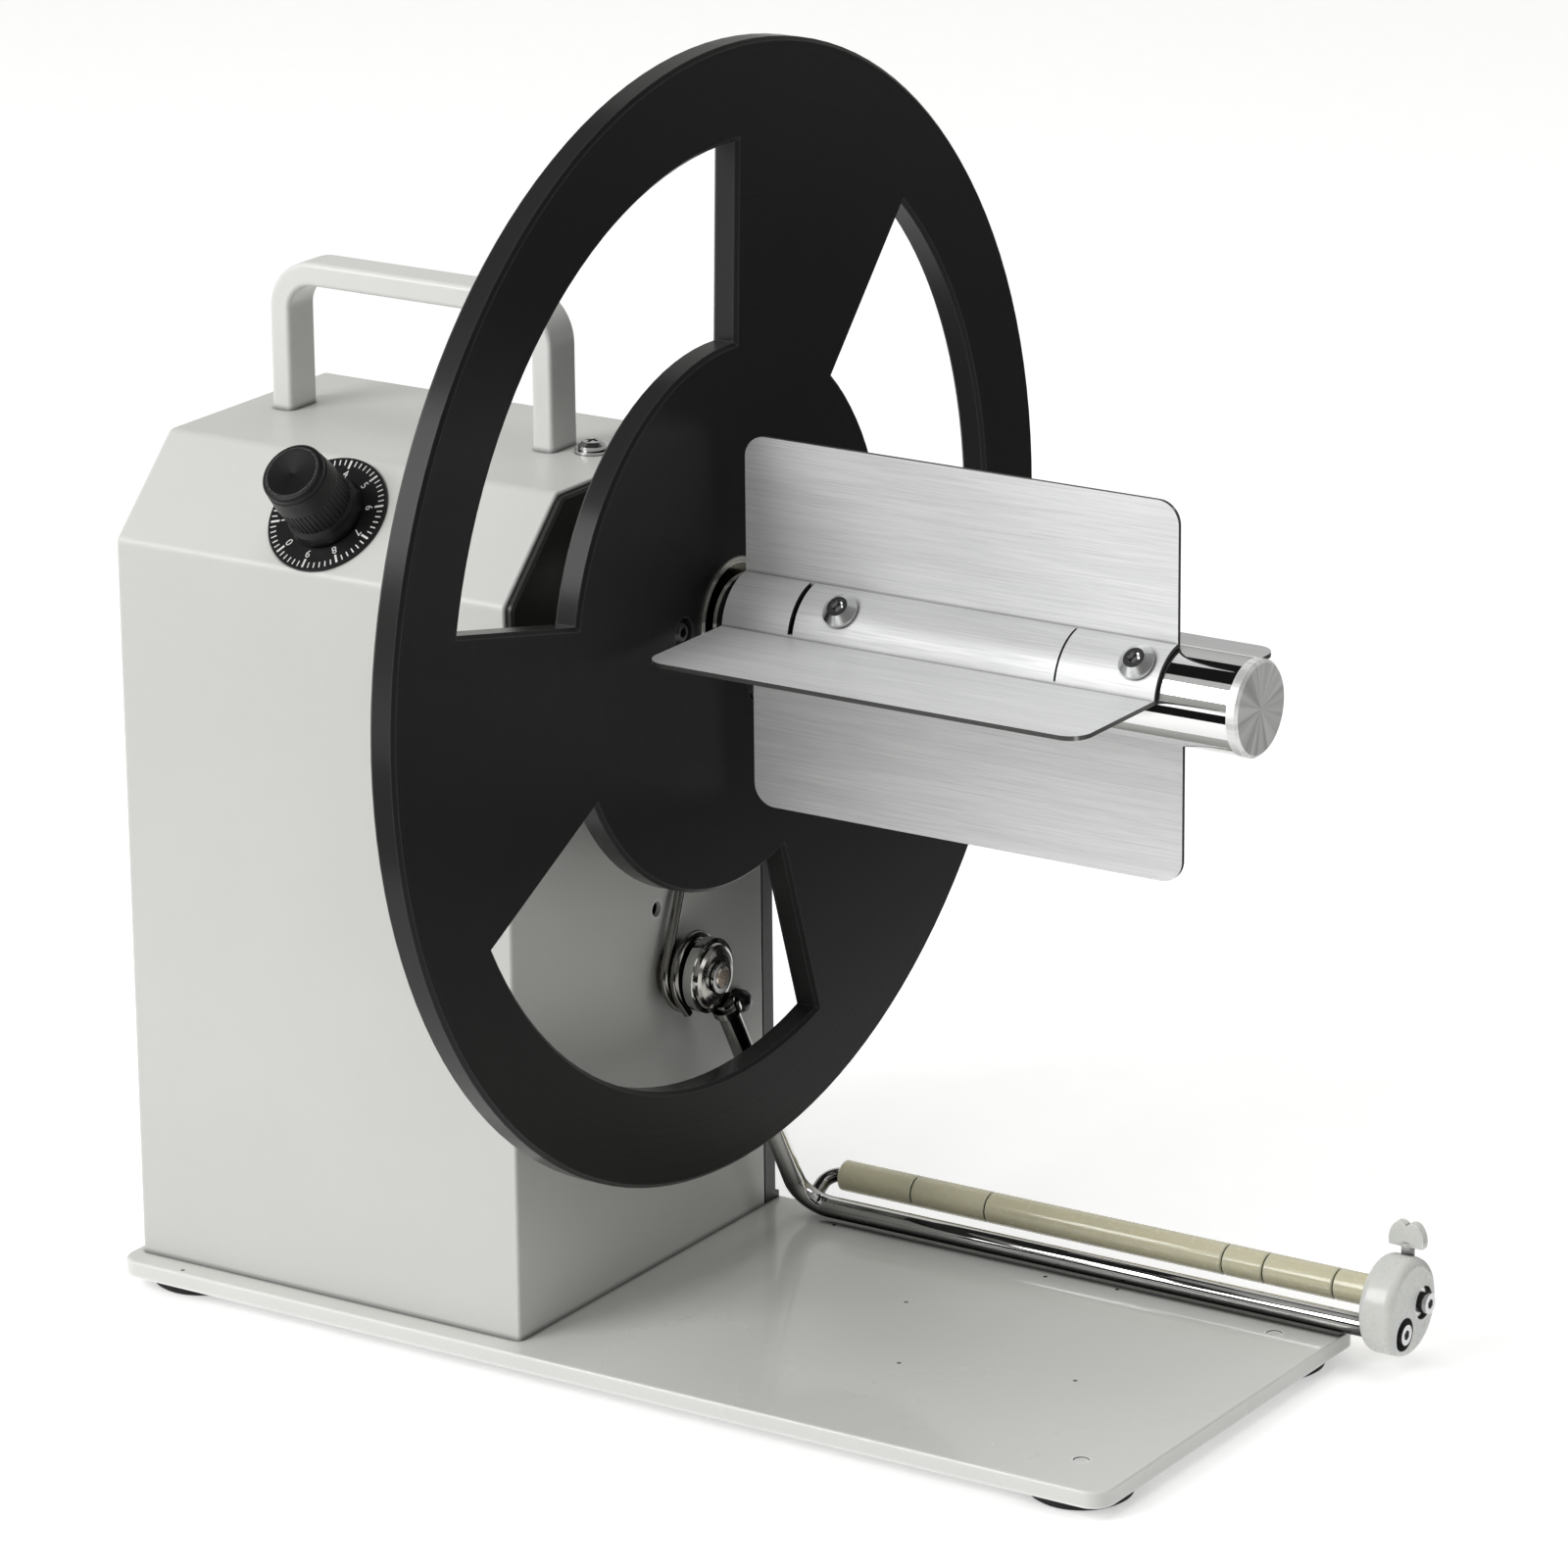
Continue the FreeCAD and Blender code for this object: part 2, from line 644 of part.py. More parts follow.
disc_screws = [polar(disc_screw_r, a) for a in around(3, disc_screw_first)]
saddle_out = V(0, -math.sqrt(0.5), math.sqrt(0.5))

keep("spindle_shaft", make_shaft())
keep("disc_hub", make_hub())
keep("roll_disc", make_disc())
keep("disc_screws", Part.makeCompound([
    socket_screw(m4 - 0.1, V(disc_face_x - 2.4, y, axis_high + z), V(-1, 0, 0), 9.0, 7.2, 2.2, 2.5)
    for y, z in disc_screws]))
keep("spindle_tube", make_tube())
keep("end_cap", make_end_cap())


# Fin plates: a sheet bent round the tube with a flat fin along each side of the saddle

def make_fin_plate():
    """Upper plate: an upright fin, a quarter saddle and a fin to the front, bent from one sheet."""
    r_in = saddle_r
    r_out = saddle_r + fin_sheet
    near = fin_offset
    far = fin_offset + fin_sheet

    def on_arc(r, offset_y=None, offset_z=None):
        if offset_y is not None:
            return V(fin_start_x, -offset_y, math.sqrt(r * r - offset_y * offset_y))
        return V(fin_start_x, -math.sqrt(r * r - offset_z * offset_z), offset_z)

    mid = saddle_out
    top_in = on_arc(r_in, offset_y=near)
    top_out = on_arc(r_out, offset_y=far)
    front_in = on_arc(r_in, offset_z=near)
    front_out = on_arc(r_out, offset_z=far)
    start = V(fin_start_x, 0, 0)
    tip = fin_reach
    edges = [
        Part.Arc(top_in, start + mid * r_in, front_in).toShape(),
        Part.makeLine(front_in, V(fin_start_x, -tip, near)),
        Part.makeLine(V(fin_start_x, -tip, near), V(fin_start_x, -tip, far)),
        Part.makeLine(V(fin_start_x, -tip, far), front_out),
        Part.Arc(front_out, start + mid * r_out, top_out).toShape(),
        Part.makeLine(top_out, V(fin_start_x, -far, tip)),
        Part.makeLine(V(fin_start_x, -far, tip), V(fin_start_x, -near, tip)),
        Part.makeLine(V(fin_start_x, -near, tip), top_in),
    ]
    body = Part.Face(Part.Wire(edges)).extrude(V(fin_end_x - fin_start_x, 0, 0))
    tips = [e for e in body.Edges if e.Length < fin_sheet + 0.1 and
            max(abs(e.BoundBox.YMin), e.BoundBox.ZMax) > tip - 0.1]
    body = body.makeFillet(fin_corner, tips)
    slit_reach = r_out + 1
    for x, wide in ((fin_slit_x, fin_slit_wide), (fin_far_slit_x, fin_far_slit_wide)):
        slit = box(x, x + wide, -slit_reach, -far - 0.6, far + 0.6, slit_reach)
        body = body.cut(slit)
    body = body.cut([rod(m5 / 2 + screw_gap, V(x, 0, 0), 30, mid) for x in fin_screw_x])
    body.translate(V(0, 0, axis_high))
    return body


def half_turn(shape):
    """The same piece turned half a turn about the spindle."""
    other = shape.copy()
    other.rotate(V(0, 0, axis_high), V(1, 0, 0), 180)
    return other


def make_fin_screws():
    seat = saddle_r + fin_sheet
    screws = []
    for x in fin_screw_x:
        screw = socket_screw(m5, V(x, 0, axis_high) + saddle_out * seat, saddle_out * -1,
                             fin_sheet + fin_gap + tube_wall + 1, 9.5, 2.7, 3.0)
        screws.append(screw)
        screws.append(half_turn(screw))
    return Part.makeCompound(screws)


keep("fin_plate_upper", make_fin_plate())
keep("fin_plate_lower", half_turn(nodes["fin_plate_upper"]))
keep("fin_screws", make_fin_screws())


# Belt drive: bracket, gearmotor, two grooved pulleys and a round belt

motor_screws = [polar(motor_screw_r, a) for a in around(4, 45)]
gearbox_mid_z = motor_axis_z - motor_offset


def make_motor_bracket():
    x0 = bracket_x
    x1 = bracket_x + bracket_thick
    half = bracket_wide / 2
    top = axis_high + boss_dia / 2 + 4
    wall = box(x0, x1, -half, half, plate_top, top)
    corners = [e for e in wall.Edges
               if abs(e.tangentAt(e.FirstParameter).x) > 0.9 and e.BoundBox.ZMin > top - 1]
    wall = wall.makeFillet(half - boss_dia / 2 - 2, corners)
    foot = box(x0 - bracket_foot, x0, -half, half, plate_top, plate_top + bracket_thick)
    boss = rod_x(boss_dia / 2, bracket_x - boss_long, bracket_x, 0, axis_high)
    body = wall.fuse([foot, boss])
    cuts = [rod_x(bearing_od / 2, rear_race_x, x1 + 1, 0, axis_high),
            rod_x(shaft_dia / 2 + 3, bracket_x - boss_long - 1, x1 + 1, 0, axis_high),
            rod_x(6.5, x0 - 1, x1 + 1, 0, motor_axis_z)]
    cuts += [rod_x(m3 / 2 + screw_gap, x0 - 1, x1 + 1, y, gearbox_mid_z + z) for y, z in motor_screws]
    cuts += [rod_z_up(m5 / 2 + screw_gap, x, y, plate_top - 1, plate_top + bracket_thick + 1)
             for x, y in bracket_screw_places]
    return body.cut(cuts)


def make_gearmotor():
    x1 = bracket_x
    x_mid = x1 - gearbox_long
    x0 = x_mid - motor_can_long
    gearbox = rod_x(gearbox_dia / 2, x_mid, x1, 0, gearbox_mid_z)
    can = rod_x(motor_can_dia / 2, x0, x_mid, 0, gearbox_mid_z)
    neck = rod_x(6.0, x1, x1 + 2.4, 0, motor_axis_z)
    tail = rod_x(5.0, x0 - 2, x0, 0, gearbox_mid_z)
    tabs = [box(x0 - 5, x0, sy * 9 - 1.5, sy * 9 + 1.5, gearbox_mid_z - 1, gearbox_mid_z + 1)
            for sy in (-1, 1)]
    body = gearbox.fuse([can, neck, tail] + tabs)
    cuts = [rod_x(m3 / 2, x1 - 5, x1 + 1, y, gearbox_mid_z + z) for y, z in motor_screws]
    cuts.append(rod_x(motor_shaft_dia / 2 + run_gap, x1 - 12, x1 + 3, 0, motor_axis_z))
    return body.cut(cuts)


def make_pulley(belt_r, hub_r, bore_r, z, boss_x):
    """Grooved pulley; its groove fits the round belt with a small gap."""
    half = pulley_wide / 2
    rim = belt_r + flange_over_belt
    body = rod_x(rim, belt_x - half, belt_x + half, 0, z)
    edges = [e for e in body.Edges if e.BoundBox.XLength < 0.01]
    body = body.makeChamfer(0.5, edges)
    groove = Part.makeTorus(belt_r, belt_dia / 2 + belt_gap, V(belt_x, 0, z), V(1, 0, 0))
    mouth = pipe_x(rim + 1, belt_r, belt_x - belt_dia / 2 - belt_gap, belt_x + belt_dia / 2 + belt_gap, 0, z)
    body = body.cut(groove).cut(mouth)
    body = body.fuse(rod_x(hub_r, belt_x + half, belt_x + half + boss_x, 0, z))
    return body.cut(rod_x(bore_r, belt_x - half - 1, belt_x + half + boss_x + 1, 0, z))


def make_driven_pulley():
    body = make_pulley(driven_belt_r, 11.0, shaft_dia / 2 + fit, axis_high, 7.0)
    holes = []
    for a in around(5, 18):
        y, z = polar(16.5, a)
        holes.append(rod_x(4.2, belt_x - 20, belt_x + 20, y, axis_high + z))
    return body.cut(holes)


def make_belt():
    """Round belt: two straight runs and two arcs round the pulleys."""
    drop = motor_axis_drop
    lean = math.asin((driven_belt_r - drive_belt_r) / drop)

    def at(r, z, a):
        return V(belt_x, r * math.cos(a), z + r * math.sin(a))

    right_top = at(driven_belt_r, axis_high, -lean)
    left_top = at(driven_belt_r, axis_high, math.pi + lean)
    right_low = at(drive_belt_r, motor_axis_z, -lean)
    left_low = at(drive_belt_r, motor_axis_z, math.pi + lean)
    path = Part.Wire([
        Part.makeLine(right_low, right_top),
        Part.Arc(right_top, at(driven_belt_r, axis_high, math.pi / 2), left_top).toShape(),
        Part.makeLine(left_top, left_low),
        Part.Arc(left_low, at(drive_belt_r, motor_axis_z, -math.pi / 2), right_low).toShape(),
    ])
    run = right_top - right_low
    ring = Part.Wire(Part.makeCircle(belt_dia / 2, right_low, run))
    return path.makePipeShell([ring], True, True)


keep("motor_bracket", make_motor_bracket())
keep("bracket_screws", Part.makeCompound([
    cross_screw(m5, V(x, y, foot_high), V(0, 0, 1), plate_thick + bracket_thick + 3, 9.0, 2.8)
    for x, y in bracket_screw_places]))
keep("gearmotor", make_gearmotor())
keep("motor_screws", Part.makeCompound([
    cross_screw(m3 - 0.1, V(bracket_x + bracket_thick, y, gearbox_mid_z + z), V(-1, 0, 0),
                bracket_thick + 4, 5.6, 2.2) for y, z in motor_screws]))
keep("driven_pulley", make_driven_pulley())
keep("drive_pulley", make_pulley(drive_belt_r, 7.0, motor_shaft_dia / 2 + fit, motor_axis_z, 5.0))
keep("motor_shaft", rod_x(motor_shaft_dia / 2, bracket_x - 11, belt_x + 12, 0, motor_axis_z))
keep("drive_belt", make_belt())


# Carrying handle: a flat bar bent into a U, held by two screws from inside

def make_handle():
    half = handle_bar / 2
    x0 = handle_leg_x[0] - half
    x1 = handle_leg_x[1] + half
    z0 = box_top
    z1 = box_top + handle_high
    outer = box(x0, x1, handle_y - handle_wide / 2, handle_y + handle_wide / 2, z0, z1)
    outer_top = [e for e in outer.Edges
                 if abs(e.tangentAt(e.FirstParameter).y) > 0.9 and e.BoundBox.ZMin > z1 - 0.01]
    outer = outer.makeFillet(handle_round, outer_top)
    inner = box(x0 + handle_bar, x1 - handle_bar, handle_y - handle_wide, handle_y + handle_wide,
                z0 - handle_round, z1 - handle_bar)
    inner_top = [e for e in inner.Edges if abs(e.tangentAt(e.FirstParameter).y) > 0.9
                 and e.BoundBox.ZMin > z1 - handle_bar - 0.01]
    inner = inner.makeFillet(handle_round - handle_bar, inner_top)
    body = outer.cut(inner)
    long_edges = [e for e in body.Edges
                  if e.BoundBox.YLength < 0.01 and e.BoundBox.ZMax > z0 + 0.01]
    body = body.makeFillet(1.3, long_edges)
    return body.cut([rod_z_up(handle_hole_dia / 2 - 0.6, x, handle_y, z0 - 1, z0 + 12) for x in handle_leg_x])


keep("carry_handle", make_handle())
keep("handle_screws", Part.makeCompound([
    cross_screw(2 * (handle_hole_dia / 2 - 0.7), V(x, handle_y, box_top - sheet), V(0, 0, 1), 12.0, 8.4, 2.6)
    for x in handle_leg_x]))


def make_top_screw():
    washer = rod_z_up(4.6, top_screw_x, top_screw_y, box_top, box_top + 0.8)
    screw = cross_screw(m4, V(top_screw_x, top_screw_y, box_top + 0.8), V(0, 0, -1), 10.0, 7.4, 2.6)
    return washer.fuse(screw)


keep("top_screw", make_top_screw())


# Speed control: dial, potentiometer, nut and knob on the front slope

def make_dial():
    disc = rod(dial_dia / 2, dial_mid, dial_thick, slope_n)
    return disc.cut(rod(pot_bush_dia / 2 + screw_gap, dial_mid - slope_n, 4, slope_n))


def make_potentiometer():
    under = dial_mid - slope_n * sheet
    body = rod(pot_body_dia / 2, under, pot_body_thick, slope_n * -1)
    body = body.fuse(rod(pot_bush_dia / 2, under, sheet + dial_thick + 3.2, slope_n))
    pins = []
    for k in (-1, 0, 1):
        foot = under - slope_n * (pot_body_thick - 2.0) + V(k * 4.0, 0, 0)
        slope_down = V(0, -math.sqrt(0.5), -math.sqrt(0.5))
        pin = rod(0.8, foot + slope_down * (pot_body_dia / 2 - 1), 6.0, slope_down)
        pins.append(pin)
    body = body.fuse(pins)
    return body.cut(rod(pot_shaft_dia / 2 + run_gap, under - slope_n * 6, 20, slope_n))


def make_knob():
    """Turned knob: a flared skirt, fine flutes, a smooth body that narrows upwards and a dished top."""
    base = dial_mid + slope_n * (dial_thick + knob_lift)
    high = knob_high - knob_lift
    skirt_r = knob_skirt_dia / 2
    body_r = knob_body_dia / 2
    shoulder_r = knob_shoulder_dia / 2
    round_r = knob_shoulder_round
    flute_low = knob_skirt_high + 2.0
    flute_top = knob_skirt_high + (high - knob_skirt_high) * 0.56
    shoulder = [(shoulder_r - round_r + round_r * math.cos(a), high - round_r + round_r * math.sin(a))
                for a in (0, math.pi / 8, math.pi / 4, math.pi * 3 / 8, math.pi / 2)]
    outline = [(0, 0), (skirt_r, 0), (skirt_r, 0.8), (skirt_r - 0.4, knob_skirt_high),
               (body_r + 0.3, knob_skirt_high + 0.8), (body_r, flute_low - 0.2), (body_r, flute_top + 0.3),
               (shoulder_r + 0.15, high - 2.6), (shoulder_r - 0.15, high - 2.4)]
    outline += shoulder + [(knob_ring_dia / 2 - knob_ring_wall - 0.3, high), (0, high - 0.7)]
    body = revolve_profile(outline, base, slope_n)
    flutes = []
    turn = FreeCAD.Rotation(V(0, 0, 1), slope_n)
    flute_r = knob_flute_dia / 2
    for a in around(knob_flutes, 90 / knob_flutes):
        out = turn.multVec(V(math.cos(math.radians(a)), math.sin(math.radians(a)), 0))
        flutes.append(rod(flute_r, base + out * (body_r + flute_r * 0.35) + slope_n * flute_low,
                          flute_top - flute_low, slope_n))
    body = body.cut(flutes)
    body = body.cut(rod(7.6, base - slope_n, 1 + 3.8, slope_n))
    bore = rod(pot_shaft_dia / 2 + 0.02, base - slope_n, high - 5, slope_n)
    groove = pipe_at(knob_ring_dia / 2, knob_ring_dia / 2 - knob_ring_wall, base + slope_n * (high - 0.4),
                     2.0, slope_n)
    return body.cut([bore, groove])


def pipe_at(r_out, r_in, start, length, along):
    """Tube from a start point along a direction."""
    return rod(r_out, start, length, along).cut(rod(r_in, start - along, length + 2, along))


keep("dial_plate", make_dial())
keep("potentiometer", make_potentiometer())
keep("pot_nut", hexagon(10.0, dial_mid + slope_n * dial_thick, 2.0, slope_n).cut(
    rod(pot_bush_dia / 2 + 0.02, dial_mid, 6, slope_n)))
keep("pot_shaft", rod(pot_shaft_dia / 2, dial_mid - slope_n * 5, 5 + knob_high - 7, slope_n))
keep("speed_knob", make_knob())
knob_top = dial_mid + slope_n * (dial_thick + knob_high - 0.4)
keep("knob_ring", pipe_at(knob_ring_dia / 2, knob_ring_dia / 2 - knob_ring_wall, knob_top, 0.5, slope_n))


# Tension arm: a hub on a fixed stud, a bent rod and the roller's axle brazed to the rod

arm_out = V(0, lean_sin, -lean_cos)
coil_long = (spring_wire + spring_gap) * (spring_turns + spring_wrap / (2 * math.pi))
hub_x0 = spring_x + coil_long + spring_wire / 2 + hub_clear
hub_x1 = arm_x + 1.6
washer_thick = 2.0
washer_crown_r = 4.5
sleeve_x0 = box_x1 + stud_flange_thick + 0.35
stud_end_x = hub_x1 + 1.7
ring_x0 = hub_x1 + 0.35
ring_x1 = hub_x1 + 1.25
stem_foot_z = axle_z + recess_dia / 2 + 0.6


def swept_rod(points, bends, r):
    """Round rod along straight runs joined by tangent arcs; one bend radius for each inner point."""
    edges = []
    last = points[0]
    for i in range(1, len(points) - 1):
        back = (points[i - 1] - points[i]).normalize()
        ahead = (points[i + 1] - points[i]).normalize()
        half = math.acos(max(-1.0, min(1.0, back.dot(ahead)))) / 2
        cut = bends[i - 1] / math.tan(half)
        inward = (back + ahead).normalize()
        centre = points[i] + inward * (bends[i - 1] / math.sin(half))
        first = points[i] + back * cut
        second = points[i] + ahead * cut
        edges.append(Part.makeLine(last, first))
        edges.append(Part.Arc(first, centre - inward * bends[i - 1], second).toShape())
        last = second
    edges.append(Part.makeLine(last, points[-1]))
    path = Part.Wire(edges)
    ring = Part.Wire(Part.makeCircle(r, points[0], points[1] - points[0]))
    return path.makePipeShell([ring], True, False)


def make_tension_arm():
    hub_mid = V(arm_x, pivot_y, pivot_z)
    bend_at = V(arm_x, rod_y, rod_z)
    rod_end = V(collar_x + collar_thick - recess_deep, rod_y, rod_z)
    start = hub_mid + arm_out * (arm_hub_dia / 2 - 1.0)
    bar = swept_rod([start, bend_at, rod_end], [arm_bend], arm_rod_dia / 2)
    hub = rod_x(arm_hub_dia / 2, hub_x0, hub_x1 - washer_thick, pivot_y, pivot_z)
    sleeve = rod_x(spring_coil_r - spring_wire / 2 - spring_gap, sleeve_x0, hub_x0, pivot_y, pivot_z)
    ferrule = rod(arm_rod_dia / 2 + 1.0, hub_mid + arm_out * (arm_hub_dia / 2 + 1.0), 2.2, arm_out)
    inward = V(0, -lean_cos, -lean_sin)
    corner = V(roller_start_x - 0.3 - axle_bend, axle_y, axle_z)
    foot = corner + inward * (axle_gap - 0.4)
    axle_end = V(collar_x + collar_thick - recess_deep, axle_y, axle_z)
    axle = swept_rod([axle_end, corner, foot], [axle_bend], axle_dia / 2)
    body = hub.fuse([sleeve, bar, ferrule, axle])
    return body.cut(rod_x(stud_dia / 2 + run_gap, hub_x0 - 10, hub_x1 + 5, pivot_y, pivot_z))


def make_cup_washer():
    """Domed washer in front of the hub."""
    r = arm_hub_dia / 2 - 1.3
    crown = [(washer_crown_r + (r - washer_crown_r) * math.cos(a), 0.4 + (washer_thick - 0.4) * math.sin(a))
             for a in (0, math.pi / 8, math.pi / 4, math.pi * 3 / 8, math.pi / 2)]
    outline = [(stud_dia / 2 + run_gap, 0), (r, 0)] + crown + [(stud_dia / 2 + run_gap, washer_thick)]
    return revolve_profile(outline, V(hub_x1 - washer_thick, pivot_y, pivot_z), V(1, 0, 0))


def make_stud():
    flange_x = box_x1
    body = rod_x(stud_dia / 2, box_x1 - sheet - 7, stud_end_x, pivot_y, pivot_z)
    body = body.fuse(rod_x(stud_flange_dia / 2, flange_x, flange_x + stud_flange_thick, pivot_y, pivot_z))
    tip = [e for e in body.Edges if e.BoundBox.XMin > stud_end_x - 0.01 and e.BoundBox.YLength > 1]
    body = body.makeChamfer(0.3, tip)
    groove = pipe_x(stud_dia, stud_dia / 2 - 0.5, ring_x0 - 0.05, ring_x1 + 0.05, pivot_y, pivot_z)
    return body.cut(groove)


def make_spring():
    """Torsion spring: a leg to the anchor screw, a turn round the hub sleeve and a leg to the rod."""
    r = spring_coil_r
    first = math.pi - leg_lean
    sweep = 2 * math.pi * spring_turns + spring_wrap
    rise = (spring_wire + spring_gap) / (2 * math.pi)

    def place(a):
        return V(spring_x + rise * (a - first), pivot_y + r * math.cos(a), pivot_z + r * math.sin(a))

    def heading(a):
        return V(rise, -r * math.sin(a), r * math.cos(a)).normalize()

    coil = Part.makeHelix(2 * math.pi * rise, rise * sweep, r)
    lay_down = FreeCAD.Rotation(V(1, 1, 1), 120)
    turn = FreeCAD.Rotation(V(1, 0, 0), math.degrees(first)).multiply(lay_down)
    coil.Placement = FreeCAD.Placement(V(spring_x, pivot_y, pivot_z), turn)
    last = first + sweep
    leg_top = place(first) - heading(first) * spring_leg
    upper = Part.makeLine(leg_top, place(first))
    lower = Part.makeLine(place(last), place(last) + heading(last) * spring_tail)
    path = Part.Wire([upper] + coil.Edges + [lower])
    ring = Part.Wire(Part.makeCircle(spring_wire / 2, leg_top, heading(first)))
    return path.makePipeShell([ring], True, False)


def make_roller_sleeves():
    end_x = collar_x - roller_gap
    cuts = [roller_start_x + part * (end_x - roller_start_x) for part in (0.0,) + roller_cut_parts + (1.0,)]
    sleeves = []
    for x0, x1 in zip(cuts[:-1], cuts[1:]):
        sleeve = pipe_x(roller_dia / 2, axle_dia / 2 + run_gap, x0, x1 - roller_gap, axle_y, axle_z)
        rims = [e for e in sleeve.Edges if e.BoundBox.XLength < 0.01 and e.BoundBox.YLength > roller_dia - 1]
        sleeves.append(sleeve.makeChamfer(0.4, rims))
    return Part.makeCompound(sleeves)


def make_end_collar():
    body = rod_x(collar_dia / 2, collar_x, collar_x + collar_thick, collar_y, collar_z)
    rims = [e for e in body.Edges if e.BoundBox.XLength < 0.01]
    body = body.makeFillet(collar_round, rims)
    seat = collar_x + collar_thick - recess_deep
    cuts = [rod_x(arm_rod_dia / 2 + 0.02, collar_x - 1, seat + 1, rod_y, rod_z),
            rod_x(axle_dia / 2 + 0.02, collar_x - 1, seat + 1, axle_y, axle_z),
            rod_x(recess_dia / 2, seat, seat + 10, rod_y, rod_z),
            rod_x(recess_dia / 2, seat, seat + 10, axle_y, axle_z),
            rod_z_up(wing_stem_dia / 2 + run_gap, collar_x + wing_from_face, axle_y, stem_foot_z - 0.4,
                     stem_foot_z + 30)]
    return body.cut(cuts)


def make_rod_end_screws():
    """A washer and a cap screw on the end of each rod."""
    seat = collar_x + collar_thick - recess_deep
    screws = []
    for y, z, lift in ((rod_y, rod_z, 0.0), (axle_y, axle_z, 1.4)):
        washer = rod_x(recess_dia / 2 - 0.5, seat, seat + 0.8 + lift, y, z)
        head = rod_x(2.75, seat + 0.8 + lift, seat + 3.8 + lift, y, z)
        key = hexagon(2.5, V(seat + 2.2 + lift, y, z), 3, V(1, 0, 0))
        screws.append(washer.fuse(head).cut(key))
    return Part.makeCompound(screws)


def make_wing_screw():
    """Wing screw moulded in white plastic, its blade in line with the rods."""
    x = collar_x + wing_from_face
    top_of_collar = collar_z + math.sqrt((collar_dia / 2) ** 2 - (axle_y - collar_y) ** 2)
    z0 = top_of_collar + wing_lift
    z1 = z0 + wing_high
    half = wing_wide / 2
    waist = 1.0
    left_foot = V(x - half, axle_y, z0)
    right_foot = V(x + half, axle_y, z0)
    left_ear = V(x - half * 0.72, axle_y, z1 - 0.6)
    right_ear = V(x + half * 0.72, axle_y, z1 - 0.6)
    edges = [
        Part.makeLine(left_foot, right_foot),
        Part.Arc(right_foot, V(x + half * 1.0, axle_y, z0 + wing_high * 0.5), right_ear).toShape(),
        Part.Arc(right_ear, V(x + half * 0.42, axle_y, z1), V(x, axle_y, z1 - waist)).toShape(),
        Part.Arc(V(x, axle_y, z1 - waist), V(x - half * 0.42, axle_y, z1), left_ear).toShape(),
        Part.Arc(left_ear, V(x - half * 1.0, axle_y, z0 + wing_high * 0.5), left_foot).toShape(),
    ]
    blade = Part.Face(Part.Wire(edges)).extrude(V(0, wing_thick, 0))
    blade.translate(V(0, -wing_thick / 2, 0))
    stem = rod_z_up(wing_stem_dia / 2, x, axle_y, stem_foot_z, z0 + 1)
    return blade.fuse(stem)


def make_arm_sensor():
    """Black domed sensor head that stands out of the housing's side behind the arm."""
    r = sensor_dia / 2
    outline = [(0, 0), (r, 0), (r, sensor_out - 2.4), (r * 0.72, sensor_out - 0.7), (0, sensor_out)]
    head = revolve_profile(outline, V(box_x1, sensor_y, sensor_z), V(1, 0, 0))
    barrel = rod_x(r - 0.7, box_x1 - 14, box_x1, sensor_y, sensor_z)
    return head.fuse(barrel)


keep("tension_arm", make_tension_arm())
keep("cup_washer", make_cup_washer())
keep("arm_stud", make_stud())
keep("stud_nut", hexagon(10.0, V(box_x1 - sheet, pivot_y, pivot_z), 4.8, V(-1, 0, 0)).cut(
    rod_x(stud_dia / 2 + 0.02, box_x1 - 20, box_x1, pivot_y, pivot_z)))
keep("retaining_ring", pipe_x(4.3, stud_dia / 2 - 0.45, ring_x0, ring_x1, pivot_y, pivot_z))
keep("torsion_spring", make_spring())
keep("roller_sleeves", make_roller_sleeves())
keep("end_collar", make_end_collar())
keep("rod_end_screws", make_rod_end_screws())
keep("wing_screw", make_wing_screw())
keep("arm_sensor", make_arm_sensor())


# Electrics: control board on standoffs, power inlet and rocker switch on the rear

board_x = bracket_x - bracket_foot - 1.0 - board_long / 2
board_corners = [(board_x + sx * (board_long / 2 - 4), sy * (board_wide / 2 - 4))
                 for sx in (-1, 1) for sy in (-1, 1)]
board_z = plate_top + board_lift


def make_control_board():
    half_l = board_long / 2
    half_w = board_wide / 2
    top = board_z + board_thick
    body = box(board_x - half_l, board_x + half_l, -half_w, half_w, board_z, top)
    pieces = [rod_z_up(5.5, board_x - 9, -30, top, top + 16),
              rod_z_up(5.5, board_x - 9, -16, top, top + 16),
              box(board_x + 3, board_x + 5.5, -34, -4, top, top + 20),
              box(board_x - 14, board_x + 4, 12, 28, top, top + 12),
              box(board_x + 8, board_x + 17, 6, 34, top, top + 9),
              box(board_x - 14, board_x - 5, -6, 6, top, top + 3)]
    for k in range(4):
        pieces.append(box(board_x + 5.5, board_x + 11, -33 + k * 9, -31.4 + k * 9, top, top + 20))
    body = body.fuse(pieces)
    return body.cut([rod_z_up(m3 / 2 + screw_gap, x, y, board_z - 1, top + 1) for x, y in board_corners])


def make_inlet():
    """Round low-voltage socket with its nut behind the panel."""
    panel = box_y + cover_deep
    flange = rod(inlet_dia / 2 + 1.6, V(inlet_x, panel, rear_control_z), 1.6, V(0, 1, 0))
    barrel = rod(inlet_dia / 2, V(inlet_x, panel, rear_control_z), 14.0, V(0, -1, 0))
    body = flange.fuse(barrel)
    body = body.cut(rod(3.1, V(inlet_x, panel + 2, rear_control_z), 11.0, V(0, -1, 0)))
    return body.fuse(rod(1.0, V(inlet_x, panel - 9.5, rear_control_z), 9.5, V(0, 1, 0)))


